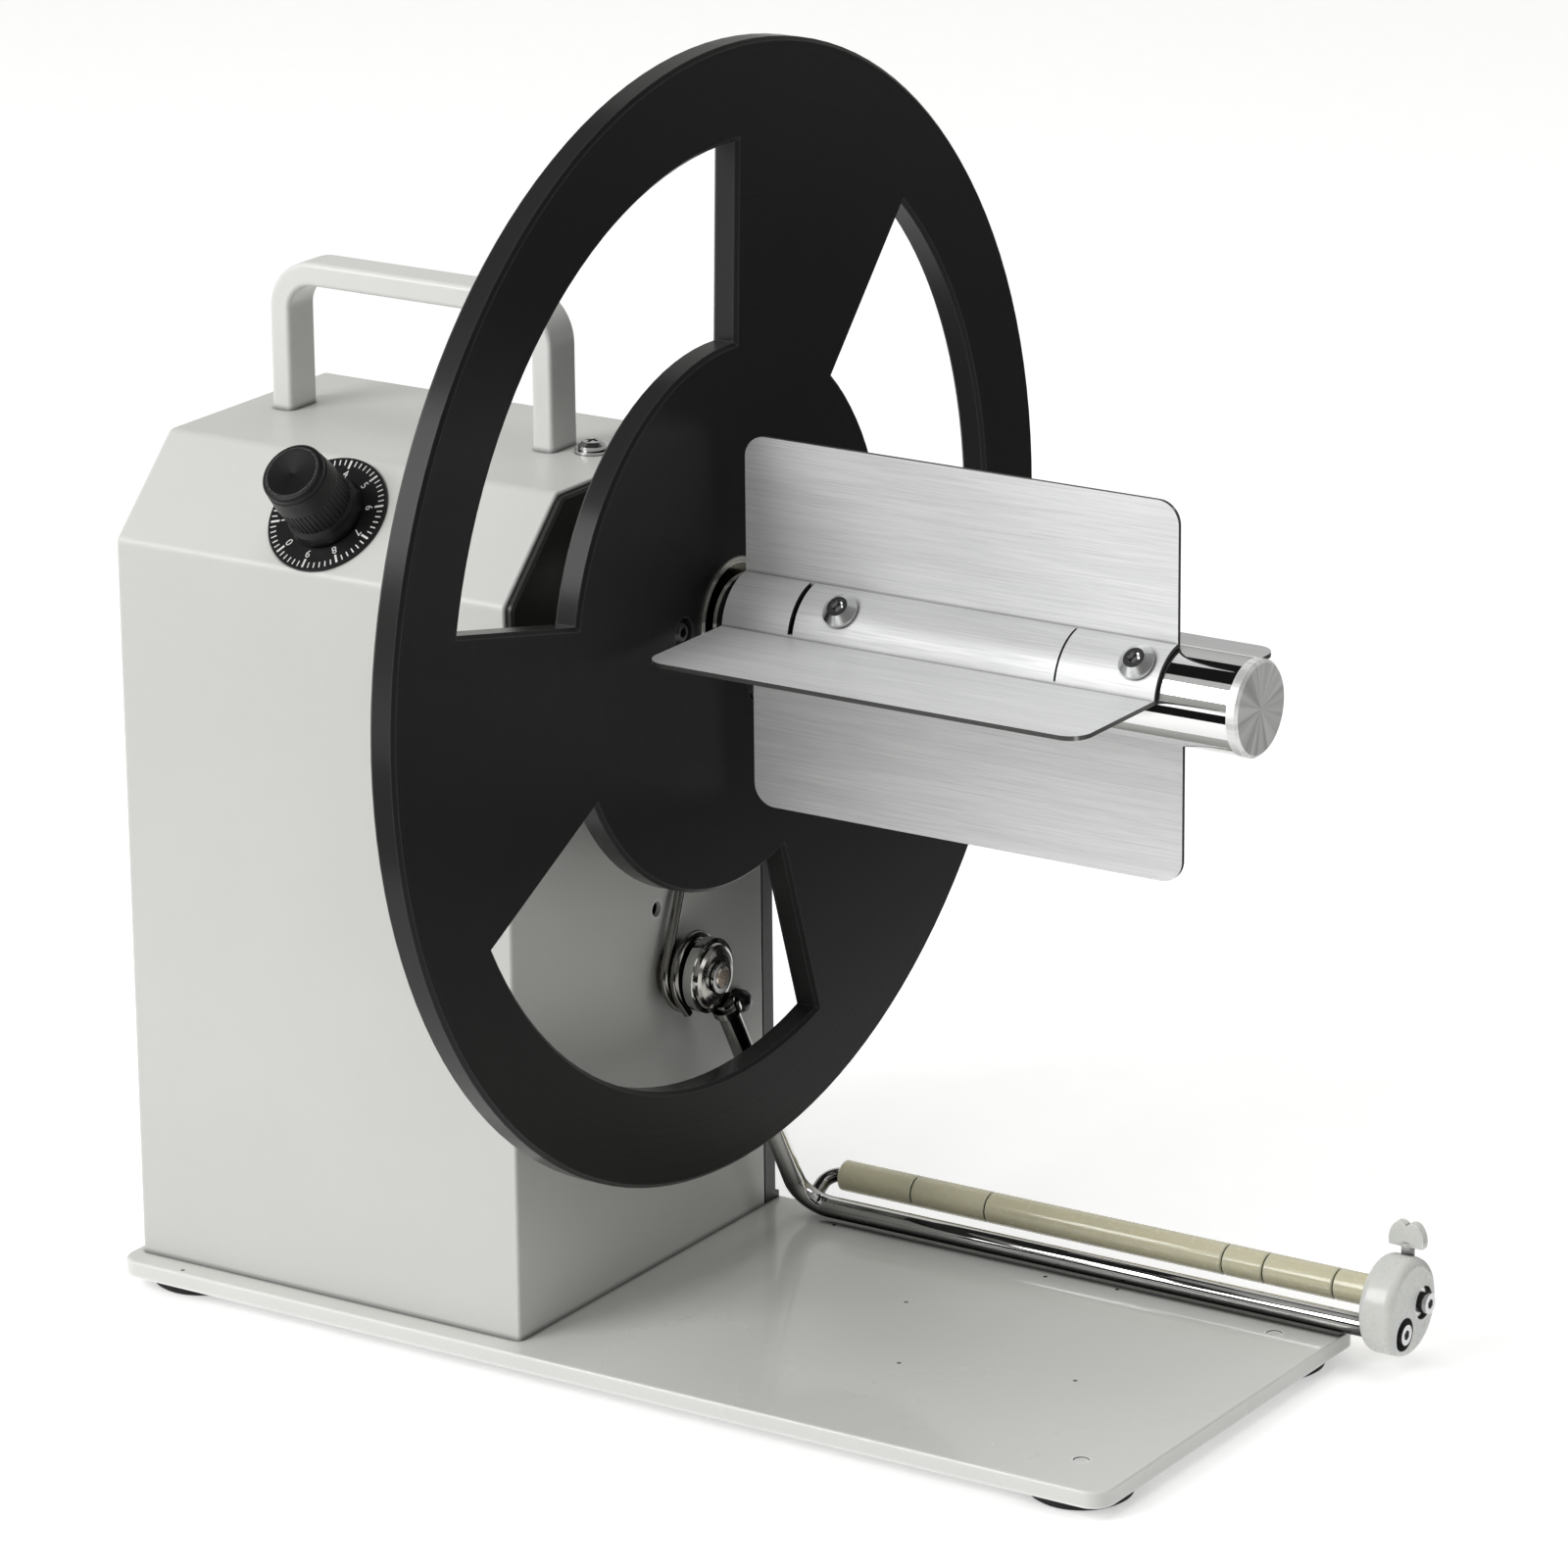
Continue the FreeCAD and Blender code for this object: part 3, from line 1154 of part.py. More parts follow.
def make_switch_body():
    panel = box_y + cover_deep
    bezel = box(switch_x - bezel_wide / 2, switch_x + bezel_wide / 2, panel, panel + 2.0,
                rear_control_z - bezel_high / 2, rear_control_z + bezel_high / 2)
    rim = [e for e in bezel.Edges if e.BoundBox.YMin > panel + 1.9]
    bezel = bezel.makeChamfer(0.6, rim)
    core = box(switch_x - bezel_wide / 2 + 1.1, switch_x + bezel_wide / 2 - 1.1, panel - 16, panel,
               rear_control_z - bezel_high / 2 + 1.1, rear_control_z + bezel_high / 2 - 1.1)
    body = bezel.fuse(core)
    pocket = box(switch_x - rocker_wide / 2 - 0.4, switch_x + rocker_wide / 2 + 0.4, panel - 6, panel + 3,
                 rear_control_z - rocker_high / 2 - 1.0, rear_control_z + rocker_high / 2 + 1.0)
    tabs = [box(switch_x - 2.4, switch_x + 2.4, panel - 23, panel - 16,
                rear_control_z + dz - 0.4, rear_control_z + dz + 0.4) for dz in (-5, 5)]
    return body.cut(pocket).fuse(tabs)


def make_rocker():
    """Rocker with a shallow V face, drawn in its off position."""
    panel = box_y + cover_deep
    half = rocker_high / 2
    points = [V(switch_x - rocker_wide / 2, panel + dy, rear_control_z + dz)
              for dy, dz in ((-3.4, -half + 1), (2.9, -half), (1.6, 0), (2.9, half), (-3.4, half - 1))]
    body = face_of(points).extrude(V(rocker_wide, 0, 0))
    body.rotate(V(switch_x, panel, rear_control_z), V(1, 0, 0), rocker_tilt)
    return body


keep("control_board", make_control_board())
keep("board_standoffs", Part.makeCompound([
    hexagon(standoff_af, V(x, y, plate_top), board_lift, V(0, 0, 1)).cut(
        rod_z_up(m3 / 2, x, y, board_z - 5, board_z + 1)) for x, y in board_corners]))
keep("board_screws", Part.makeCompound([
    cross_screw(m3 - 0.1, V(x, y, board_z + board_thick), V(0, 0, -1), board_thick + 4.0, 5.6, 2.0)
    for x, y in board_corners]))
keep("power_inlet", make_inlet())
keep("switch_body", make_switch_body())
keep("power_rocker", make_rocker())

# The small screw that anchors the spring's upper leg
keep("spring_anchor_screw", cross_screw(m4, V(spring_x + spring_wire / 2 + 1.6, anchor_y, anchor_z),
                                        V(-1, 0, 0), 12.0, 7.0, 2.0))

for name, shape in nodes.items():
    shape.exportStep("parts/" + name + ".step")
    print(name, len(shape.Solids), round(shape.Volume), shape.isValid())
print(len(nodes), "nodes")
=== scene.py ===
"""Looks of the table-top label rewinder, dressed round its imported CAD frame.

Lengths are in metres, +X along the spindle, +Y to the rear and +Z up, with the table at Z 0.
"""

import math

import bmesh
import bpy
from mathutils import Matrix, Vector


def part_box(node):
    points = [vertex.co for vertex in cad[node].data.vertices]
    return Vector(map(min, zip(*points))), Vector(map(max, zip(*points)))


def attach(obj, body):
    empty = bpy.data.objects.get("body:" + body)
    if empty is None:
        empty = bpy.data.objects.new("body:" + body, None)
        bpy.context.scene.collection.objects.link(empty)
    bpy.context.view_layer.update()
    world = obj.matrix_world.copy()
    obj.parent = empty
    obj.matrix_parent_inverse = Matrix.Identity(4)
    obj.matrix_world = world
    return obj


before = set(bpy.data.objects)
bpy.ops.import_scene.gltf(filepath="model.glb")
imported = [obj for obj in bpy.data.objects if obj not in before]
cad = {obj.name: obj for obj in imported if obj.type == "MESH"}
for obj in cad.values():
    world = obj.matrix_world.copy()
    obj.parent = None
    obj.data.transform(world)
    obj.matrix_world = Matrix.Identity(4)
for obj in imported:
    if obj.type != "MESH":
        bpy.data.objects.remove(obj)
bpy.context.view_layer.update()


# Studio: camera, pale table, white surroundings and soft lamps.
# The view is a long lens from the front right and a little above. Dark and pale boards that only
# polished metal sees give the chrome its bands.

camera_at = (0.9974, -1.50342, 0.72812)
camera_turn = 33.06
camera_drop = 17.77
camera_roll = 0.58
focal_pixels = 7426.95
picture_pixels = 1600
sensor_wide = 36.0
table_half = 6.0
table_lift = 0.44


def point_camera():
    turn = math.radians(camera_turn)
    drop = math.radians(camera_drop)
    roll = math.radians(camera_roll)
    ahead = Vector((-math.sin(turn) * math.cos(drop), math.cos(turn) * math.cos(drop), -math.sin(drop)))
    level = Vector((math.cos(turn), math.sin(turn), 0))
    below = ahead.cross(level)
    right = level * math.cos(roll) + below * math.sin(roll)
    down = below * math.cos(roll) - level * math.sin(roll)
    lens = bpy.data.cameras.new("view")
    lens.sensor_width = sensor_wide
    lens.lens = focal_pixels / picture_pixels * sensor_wide
    lens.clip_start = 0.05
    lens.clip_end = 50
    camera = bpy.data.objects.new("view", lens)
    bpy.context.scene.collection.objects.link(camera)
    axes = Matrix((right, -down, -ahead)).transposed().to_4x4()
    camera.matrix_world = Matrix.Translation(Vector(camera_at)) @ axes
    bpy.context.scene.camera = camera


def put(tree, kind, inputs=None, **settings):
    """Adds a shader node. Each input is set to a value, or joined where the value is a socket."""
    node = tree.nodes.new(kind)
    for key, value in settings.items():
        setattr(node, key, value)
    for key, value in (inputs or {}).items():
        socket = node.inputs[key]
        if isinstance(value, bpy.types.NodeSocket):
            tree.links.new(value, socket)
        else:
            socket.default_value = value
    return node


def ramp(tree, value, *stops):
    """Colour ramp over a value; each stop is (place, brightness) or (place, colour)."""
    node = tree.nodes.new("ShaderNodeValToRGB")
    tree.links.new(value, node.inputs["Fac"])
    marks = node.color_ramp.elements
    while len(marks) < len(stops):
        marks.new(0.5)
    for mark, (place, shade) in zip(marks, stops):
        mark.position = place
        mark.color = (shade, shade, shade, 1) if isinstance(shade, (int, float)) else (*shade, 1)
    return node.outputs["Color"]


def lamp(name, at, towards, wide, high, watts):
    """A soft box that faces a point."""
    light = bpy.data.lights.new(name, "AREA")
    light.shape = "RECTANGLE"
    light.size = wide
    light.size_y = high
    light.energy = watts
    holder = bpy.data.objects.new(name, light)
    holder.location = at
    holder.rotation_mode = "QUATERNION"
    holder.rotation_quaternion = (Vector(towards) - Vector(at)).to_track_quat("-Z", "Y")
    bpy.context.scene.collection.objects.link(holder)


def panel(name, at, towards, wide, high, shade):
    """A board beside the set that only mirrors see."""
    mesh = bpy.data.meshes.new(name)
    x = wide / 2
    y = high / 2
    mesh.from_pydata([(-x, -y, 0), (x, -y, 0), (x, y, 0), (-x, y, 0)], [], [(0, 1, 2, 3)])
    board = bpy.data.objects.new(name, mesh)
    board.location = at
    board.rotation_mode = "QUATERNION"
    board.rotation_quaternion = (Vector(towards) - Vector(at)).to_track_quat("Z", "Y")
    finish = bpy.data.materials.new(name)
    finish.use_nodes = True
    finish.node_tree.nodes.clear()
    out = put(finish.node_tree, "ShaderNodeOutputMaterial")
    glow = put(finish.node_tree, "ShaderNodeEmission", {"Color": (shade, shade, shade, 1), "Strength": 1.0})
    finish.node_tree.links.new(glow.outputs[0], out.inputs["Surface"])
    mesh.materials.append(finish)
    bpy.context.scene.collection.objects.link(board)
    board.visible_camera = False
    board.visible_diffuse = False
    board.visible_shadow = False
    board.visible_transmission = False


def make_table():
    """A wide matt table top, which the camera sees as white apart from the shadow."""
    mesh = bpy.data.meshes.new("table_top")
    bm = bmesh.new()
    bmesh.ops.create_grid(bm, x_segments=1, y_segments=1, size=table_half)
    bm.to_mesh(mesh)
    bm.free()
    table = bpy.data.objects.new("table_top", mesh)
    bpy.context.scene.collection.objects.link(table)
    paper = bpy.data.materials.new("white_paper")
    paper.use_nodes = True
    tree = paper.node_tree
    tree.nodes.clear()
    place = put(tree, "ShaderNodeTexCoord").outputs["Object"]
    fibre = put(tree, "ShaderNodeTexNoise", {"Vector": place, "Scale": 90.0, "Detail": 4.0})
    tone = ramp(tree, fibre.outputs["Fac"], (0.3, 0.90), (0.7, 0.93))
    matt = put(tree, "ShaderNodeBsdfDiffuse", {"Color": tone})
    rays = put(tree, "ShaderNodeLightPath")
    seen = put(tree, "ShaderNodeMath", {0: rays.outputs["Is Camera Ray"], 1: rays.outputs["Is Glossy Ray"]},
               operation="MAXIMUM")
    lift = put(tree, "ShaderNodeMath", {0: seen.outputs[0], 1: table_lift}, operation="MULTIPLY")
    glow = put(tree, "ShaderNodeEmission", {"Color": (1, 1, 1, 1), "Strength": lift.outputs[0]})
    both = put(tree, "ShaderNodeAddShader", {0: matt.outputs[0], 1: glow.outputs[0]})
    out = put(tree, "ShaderNodeOutputMaterial", {"Surface": both.outputs[0]})
    mesh.materials.append(paper)


def make_surroundings():
    """White for the camera and glass; for light and mirrors, darker below and to the right."""
    world = bpy.data.worlds.new("white_room")
    bpy.context.scene.world = world
    world.use_nodes = True
    tree = world.node_tree
    tree.nodes.clear()
    rays = put(tree, "ShaderNodeLightPath")
    seen = put(tree, "ShaderNodeMath", {0: rays.outputs["Is Camera Ray"],
                                        1: rays.outputs["Is Transmission Ray"]}, operation="MAXIMUM")
    way = put(tree, "ShaderNodeTexCoord").outputs["Generated"]
    axes = put(tree, "ShaderNodeSeparateXYZ", {0: way})
    sky = ramp(tree, axes.outputs["Z"], (0.0, (0.62, 0.625, 0.585)), (0.25, (0.80, 0.80, 0.77)),
               (0.6, (0.95, 0.95, 0.93)))
    side = put(tree, "ShaderNodeMapRange", {"Value": axes.outputs["X"], "From Min": -0.3, "From Max": 0.9,
                                            "To Min": 0.60, "To Max": 0.22})
    dim = put(tree, "ShaderNodeBackground", {"Color": sky, "Strength": side.outputs[0]})
    white = put(tree, "ShaderNodeBackground", {"Color": (1, 1, 1, 1), "Strength": 1.0})
    both = put(tree, "ShaderNodeMixShader", {0: seen.outputs[0], 1: dim.outputs[0], 2: white.outputs[0]})
    put(tree, "ShaderNodeOutputWorld", {"Surface": both.outputs[0]})


point_camera()
make_table()
make_surroundings()
lamp("key_softbox", (-0.95, -1.7, 1.25), (-0.05, 0, 0.15), 1.1, 1.1, 26)
lamp("top_softbox", (0.1, 0.1, 1.8), (0, 0, 0.1), 1.4, 1.2, 7)
lamp("side_strip", (1.7, 0.3, 0.8), (0, 0, 0.15), 0.4, 1.0, 2.2)
panel("dark_board_floor", (0.78, 0.78, 0.004), (0.78, 0.78, 1.0), 1.3, 1.3, 0.01)
panel("dark_board_above", (-0.36, 0.02, 0.9), (-0.36, 0.02, 0.2), 1.5, 0.76, 0.01)
panel("dark_board_front", (-0.17, -0.30, 0.08), (-0.17, 0.0, 0.08), 0.8, 0.12, 0.01)
bpy.context.scene.view_settings.view_transform = "Standard"


# Housing, base plate and carrying handle: folded and bent steel under light grey powder coat.
# The coat has a fine sandy grain on the housing and handle, and has flowed out smooth and glossier
# on the base plate.

def group(name, inputs, outputs):
    """A shader node group with float inputs (name, default) and outputs (name, socket kind)."""
    tree = bpy.data.node_groups.new(name, "ShaderNodeTree")
    for label, value in inputs:
        tree.interface.new_socket(label, in_out="INPUT", socket_type="NodeSocketFloat").default_value = value
    for label, kind in outputs:
        tree.interface.new_socket(label, in_out="OUTPUT", socket_type=kind)
    return tree, tree.nodes.new("NodeGroupInput"), tree.nodes.new("NodeGroupOutput")


def build_grain():
    """Small bumps and slow changes of tone, as in sprayed paint and moulded plastic."""
    tree, given, out = group("surface_grain",
                             [("Bumps per metre", 900.0), ("Height", 0.00003), ("Unevenness", 0.5)],
                             [("Normal", "NodeSocketVector"), ("Cloud", "NodeSocketFloat"),
                              ("Speck", "NodeSocketFloat")])
    place = put(tree, "ShaderNodeTexCoord").outputs["Object"]
    fine = put(tree, "ShaderNodeTexNoise", {"Vector": place, "Scale": given.outputs[0], "Detail": 3.0,
                                            "Roughness": 0.6})
    lumps = put(tree, "ShaderNodeTexVoronoi", {"Vector": place, "Scale": given.outputs[0], "Smoothness": 0.8},
                feature="SMOOTH_F1")
    mix = put(tree, "ShaderNodeMix", {0: given.outputs[2], 2: fine.outputs["Fac"],
                                      3: lumps.outputs["Distance"]})
    bump = put(tree, "ShaderNodeBump", {"Strength": 1.0, "Distance": given.outputs[1],
                                        "Height": mix.outputs[0]})
    cloud = put(tree, "ShaderNodeTexNoise", {"Vector": place, "Scale": 9.0, "Detail": 5.0, "Roughness": 0.55})
    tree.links.new(bump.outputs[0], out.inputs[0])
    tree.links.new(cloud.outputs["Fac"], out.inputs[1])
    tree.links.new(fine.outputs["Fac"], out.inputs[2])
    return tree


def build_edges():
    """Mask of outer edges, for coats thinning out there and for a painted highlight where cut metal and other
    edges catch the light.
    """
    tree, given, out = group("edge_wear_and_highlight", [("Width", 0.0006), ("Breakup", 0.5)],
                             [("Mask", "NodeSocketFloat")])
    soft = put(tree, "ShaderNodeBevel", {"Radius": given.outputs[0]}, samples=6)
    true_face = put(tree, "ShaderNodeNewGeometry").outputs["Normal"]
    both = put(tree, "ShaderNodeVectorMath", {0: soft.outputs[0], 1: true_face}, operation="DOT_PRODUCT")
    turn = put(tree, "ShaderNodeMapRange", {"Value": both.outputs["Value"], "From Min": 0.995,
                                            "From Max": 0.90})
    place = put(tree, "ShaderNodeTexCoord").outputs["Object"]
    patchy = put(tree, "ShaderNodeTexNoise", {"Vector": place, "Scale": 130.0, "Detail": 4.0})
    level = put(tree, "ShaderNodeMapRange", {"Value": patchy.outputs["Fac"], "From Min": 0.35,
                                             "From Max": 0.65})
    broken = put(tree, "ShaderNodeMix", {0: given.outputs[1], 2: 1.0, 3: level.outputs[0]})
    mask = put(tree, "ShaderNodeMath", {0: turn.outputs[0], 1: broken.outputs[0]}, operation="MULTIPLY")
    tree.links.new(mask.outputs[0], out.inputs[0])
    return tree


def build_crevice():
    """Painted shade close to where pieces meet, where light is blocked; 1 is open."""
    tree, given, out = group("crevice_shade", [("Reach", 0.004), ("Depth", 0.8)],
                             [("Open", "NodeSocketFloat")])
    near = put(tree, "ShaderNodeAmbientOcclusion", {"Distance": given.outputs[0]}, samples=12)
    level = put(tree, "ShaderNodeMapRange", {"Value": near.outputs["AO"], "From Min": 0.42, "From Max": 0.82})
    shut = put(tree, "ShaderNodeMath", {0: 1.0, 1: given.outputs[1]}, operation="SUBTRACT")
    open_part = put(tree, "ShaderNodeMix", {0: level.outputs[0], 2: shut.outputs[0], 3: 1.0})
    tree.links.new(open_part.outputs[0], out.inputs[0])
    return tree


grain = build_grain()
edges = build_edges()
crevice = build_crevice()


def use(tree, made, **values):
    """Places a node group in a material; spaces in input names are written as underscores."""
    node = tree.nodes.new("ShaderNodeGroup")
    node.node_tree = made
    for key, value in values.items():
        node.inputs[key.replace("_", " ")].default_value = value
    return node


def finish(name, **plain):
    """A new material; each plain value is set on the Principled shader's own socket."""
    made = bpy.data.materials.new(name)
    made.use_nodes = True
    shader = made.node_tree.nodes["Principled BSDF"]
    for key, value in plain.items():
        socket = shader.inputs[key.replace("_", " ")]
        socket.default_value = (*value, 1) if socket.type == "RGBA" else value
    return made, made.node_tree, shader


def blend(tree, mask, under, over):
    """One colour under another by a mask; the upper one may be a plain colour."""
    upper = over if isinstance(over, bpy.types.NodeSocket) else (*over, 1)
    return put(tree, "ShaderNodeMix", {0: mask, 6: under, 7: upper}, data_type="RGBA").outputs[2]


def vary_roughness(tree, shader, value, low, high):
    """Roughness from low to high over the middle part of a mask's range."""
    level = put(tree, "ShaderNodeMapRange", {"Value": value, "From Min": 0.3, "From Max": 0.7,
                                             "To Min": low, "To Max": high})
    tree.links.new(level.outputs[0], shader.inputs["Roughness"])


def shade_crevices(tree, colour, shader, reach, depth):
    """Darkens a colour in crevices with painted shade on its way to the shader."""
    near = use(tree, crevice, Reach=reach, Depth=depth)
    dark = put(tree, "ShaderNodeMix", {0: 1.0, 6: colour, 7: near.outputs["Open"]}, data_type="RGBA",
               blend_type="MULTIPLY")
    tree.links.new(dark.outputs[2], shader.inputs["Base Color"])


def dark_specks(tree, colour):
    """Sparse dark specks, about 1 mm wide, as in a coat that caught some dust."""
    place = put(tree, "ShaderNodeTexCoord").outputs["Object"]
    cells = put(tree, "ShaderNodeTexVoronoi", {"Vector": place, "Scale": 45.0}, voronoi_dimensions="2D")
    few = put(tree, "ShaderNodeSeparateColor", {0: cells.outputs["Color"]})
    chosen = put(tree, "ShaderNodeMath", {0: few.outputs[0], 1: 0.90}, operation="GREATER_THAN")
    dot = put(tree, "ShaderNodeMapRange", {"Value": cells.outputs["Distance"], "From Min": 0.035,
                                           "From Max": 0.02})
    up = put(tree, "ShaderNodeSeparateXYZ", {0: put(tree, "ShaderNodeTexCoord").outputs["Normal"]})
    level = put(tree, "ShaderNodeMath", {0: up.outputs["Z"], 1: 0.9}, operation="GREATER_THAN")
    both = put(tree, "ShaderNodeMath", {0: chosen.outputs[0], 1: dot.outputs[0]}, operation="MULTIPLY")
    shown = put(tree, "ShaderNodeMath", {0: both.outputs[0], 1: level.outputs[0]}, operation="MULTIPLY")
    mix = blend(tree, shown.outputs[0], colour, (0.05, 0.05, 0.045))
    return mix


def powder_coat(name, colour, gloss, per_metre=0.0, height=0.0, specks=False, reach=0.0026, **plain):
    """Sprayed and baked coat, paler on its edges where it thins and as a painted highlight, and darker with
    painted shade where pieces meet; with no bumps per metre it is smooth.
    """
    made, tree, shader = finish(name, **{"Coat_Weight": 0.12, "Coat_Roughness": 0.25, **plain})
    body = use(tree, grain, Bumps_per_metre=per_metre, Height=height, Unevenness=0.55)
    edge = use(tree, edges, Width=0.0014, Breakup=0.25)
    dark = tuple(c * 0.955 for c in colour)
    tone = ramp(tree, body.outputs["Cloud"], (0.32, dark), (0.68, colour))
    if specks:
        tone = dark_specks(tree, tone)
    # Edges are painted paler as a highlight, and crevices darker as painted shade.
    pale = tuple(min(0.98, c * 1.7) for c in colour)
    lit = blend(tree, edge.outputs["Mask"], tone, pale)
    shade_crevices(tree, lit, shader, reach, 0.96)
    mottle = body.outputs["Speck" if per_metre else "Cloud"]
    vary_roughness(tree, shader, mottle, gloss - 0.03, gloss + 0.03)
    if per_metre:
        tree.links.new(body.outputs["Normal"], shader.inputs["Normal"])
    return made


def paint(material, *names):
    """Gives CAD nodes their material."""
    for name in names:
        mesh = cad[name].data
        mesh.materials.clear()
        mesh.materials.append(material)


housing_grey = (0.665, 0.67, 0.645)
paint(powder_coat("housing_powder_coat", housing_grey, 0.40, 1300.0, 0.00005), "housing_shell")
base_grey = (0.79, 0.795, 0.765)
base_gloss = 0.26
paint(powder_coat("base_powder_coat", base_grey, base_gloss, specks=True, Coat_Weight=0.45,
                  Coat_Roughness=0.05), "base_plate")
paint(powder_coat("sprayed_over_screws", base_grey, base_gloss, reach=0.0001), "foot_screws")
paint(powder_coat("handle_powder_coat", (0.77, 0.775, 0.755), 0.30, 1500.0, 0.00002), "carry_handle")


# Rear cover and bearing plate: thin steel sheet in satin black powder coat.
# The bearing plate lies behind the disc and carries the bearing; its black on the upper side face also stands
# in for the shade there.

black_coat = powder_coat("black_powder_coat", (0.022, 0.022, 0.021), 0.42, 1500.0, 0.00004)
paint(black_coat, "rear_cover", "bearing_plate")


# Roll disc: 7.6 mm black plastic sheet, turned and routed, with a satin face and small chamfers.
# Faint rings from turning cross the face, and the cut edges of the windows are a little shinier; their paler
# colour is a painted sheen, and the paler line along every edge a painted highlight.

def plastic(name, colour, rough, per_metre=1500.0, height=0.00001, edge_highlight_gain=2.0, **plain):
    """Moulded or cut plastic with fine grain, slow tone changes and slightly paler edges as a painted
    highlight.
    """
    made, tree, shader = finish(name, **plain)
    body = use(tree, grain, Bumps_per_metre=per_metre, Height=height, Unevenness=0.3)
    edge = use(tree, edges, Width=0.0005, Breakup=0.2)
    low = tuple(c * 0.88 for c in colour)
    tone = ramp(tree, body.outputs["Cloud"], (0.3, low), (0.7, colour))
    # Edges are painted paler as a highlight.
    pale = tuple(min(1.0, c * edge_highlight_gain) for c in colour)
    lit = blend(tree, edge.outputs["Mask"], tone, pale)
    tree.links.new(lit, shader.inputs["Base Color"])
    vary_roughness(tree, shader, body.outputs["Cloud"], rough - 0.04, rough + 0.05)
    tree.links.new(body.outputs["Normal"], shader.inputs["Normal"])
    return made


spindle_high = 0.196
spindle_line = (0.0, spindle_high)


def build_turned():
    """Fine rings round a line along X, as a lathe tool leaves them."""
    tree, given, out = group("turned_rings", [("Rings per metre", 1400.0), ("Height", 0.00001),
                                              ("Centre Y", 0.0), ("Centre Z", spindle_high)],
                             [("Normal", "NodeSocketVector"), ("Rings", "NodeSocketFloat")])
    place = put(tree, "ShaderNodeSeparateXYZ", {0: put(tree, "ShaderNodeTexCoord").outputs["Object"]})
    dy = put(tree, "ShaderNodeMath", {0: place.outputs["Y"], 1: given.outputs[2]}, operation="SUBTRACT")
    dz = put(tree, "ShaderNodeMath", {0: place.outputs["Z"], 1: given.outputs[3]}, operation="SUBTRACT")
    flat = put(tree, "ShaderNodeCombineXYZ", {0: dy.outputs[0], 1: dz.outputs[0]})
    r = put(tree, "ShaderNodeVectorMath", {0: flat.outputs[0]}, operation="LENGTH")
    scaled = put(tree, "ShaderNodeMath", {0: r.outputs["Value"], 1: given.outputs[0]}, operation="MULTIPLY")
    rings = put(tree, "ShaderNodeTexNoise", {"W": scaled.outputs[0], "Scale": 1.0, "Detail": 3.0},
                noise_dimensions="1D")
    bump = put(tree, "ShaderNodeBump", {"Distance": given.outputs[1], "Height": rings.outputs["Fac"]})
    tree.links.new(bump.outputs[0], out.inputs[0])
    tree.links.new(rings.outputs["Fac"], out.inputs[1])
    return tree


turned = build_turned()

disc_black, tree, shader = finish("disc_black", Specular_IOR_Level=0.14)
body = use(tree, grain, Bumps_per_metre=1100.0, Height=0.00001, Unevenness=0.2)
rings = use(tree, turned, Rings_per_metre=900.0, Height=0.000012)
edge = use(tree, edges, Width=0.0007, Breakup=0.15)
faced = put(tree, "ShaderNodeSeparateXYZ", {0: put(tree, "ShaderNodeTexCoord").outputs["Normal"]})
flat = put(tree, "ShaderNodeMath", {0: faced.outputs["X"]}, operation="ABSOLUTE")
rim = put(tree, "ShaderNodeMapRange", {"Value": flat.outputs[0], "From Min": 0.8, "From Max": 0.4})
tone = ramp(tree, body.outputs["Cloud"], (0.3, (0.0046, 0.0050, 0.0047)), (0.7, (0.0070, 0.0074, 0.0070)))
# Faces that don't face along X, the rim and window walls, are painted paler as sheen, and edges paler as a
# highlight.
cut = blend(tree, rim.outputs[0], tone, (0.024, 0.024, 0.024))
lit = blend(tree, edge.outputs["Mask"], cut, (0.06, 0.06, 0.06))
tree.links.new(lit, shader.inputs["Base Color"])
level = put(tree, "ShaderNodeMapRange", {"Value": rings.outputs["Rings"], "From Min": 0.3, "From Max": 0.7,
                                         "To Min": 0.38, "To Max": 0.44})
polish = put(tree, "ShaderNodeMix", {0: rim.outputs[0], 2: level.outputs[0], 3: 0.22})
tree.links.new(polish.outputs[0], shader.inputs["Roughness"])
tree.links.new(rings.outputs["Normal"], shader.inputs["Normal"])
paint(disc_black, "roll_disc")


# Spindle: chrome plated tube, turned aluminium end cap, machined hub behind the disc.
# The cap's face shows fine turning rings and paler and darker wedges round its centre, a painted highlight;
# the hub's ring round the tube has a bright machined lip, a painted highlight on its edge.

def dull_to_matt_light(tree, roughness):
    """Roughness as given, but high for light on its way from matt faces, which would only glitter."""
    ray = put(tree, "ShaderNodeLightPath")
    dull = put(tree, "ShaderNodeMath", {0: ray.outputs["Is Diffuse Ray"], 1: 0.6}, operation="MULTIPLY")
    return put(tree, "ShaderNodeMath", {0: roughness, 1: dull.outputs[0]}, operation="MAXIMUM").outputs[0]


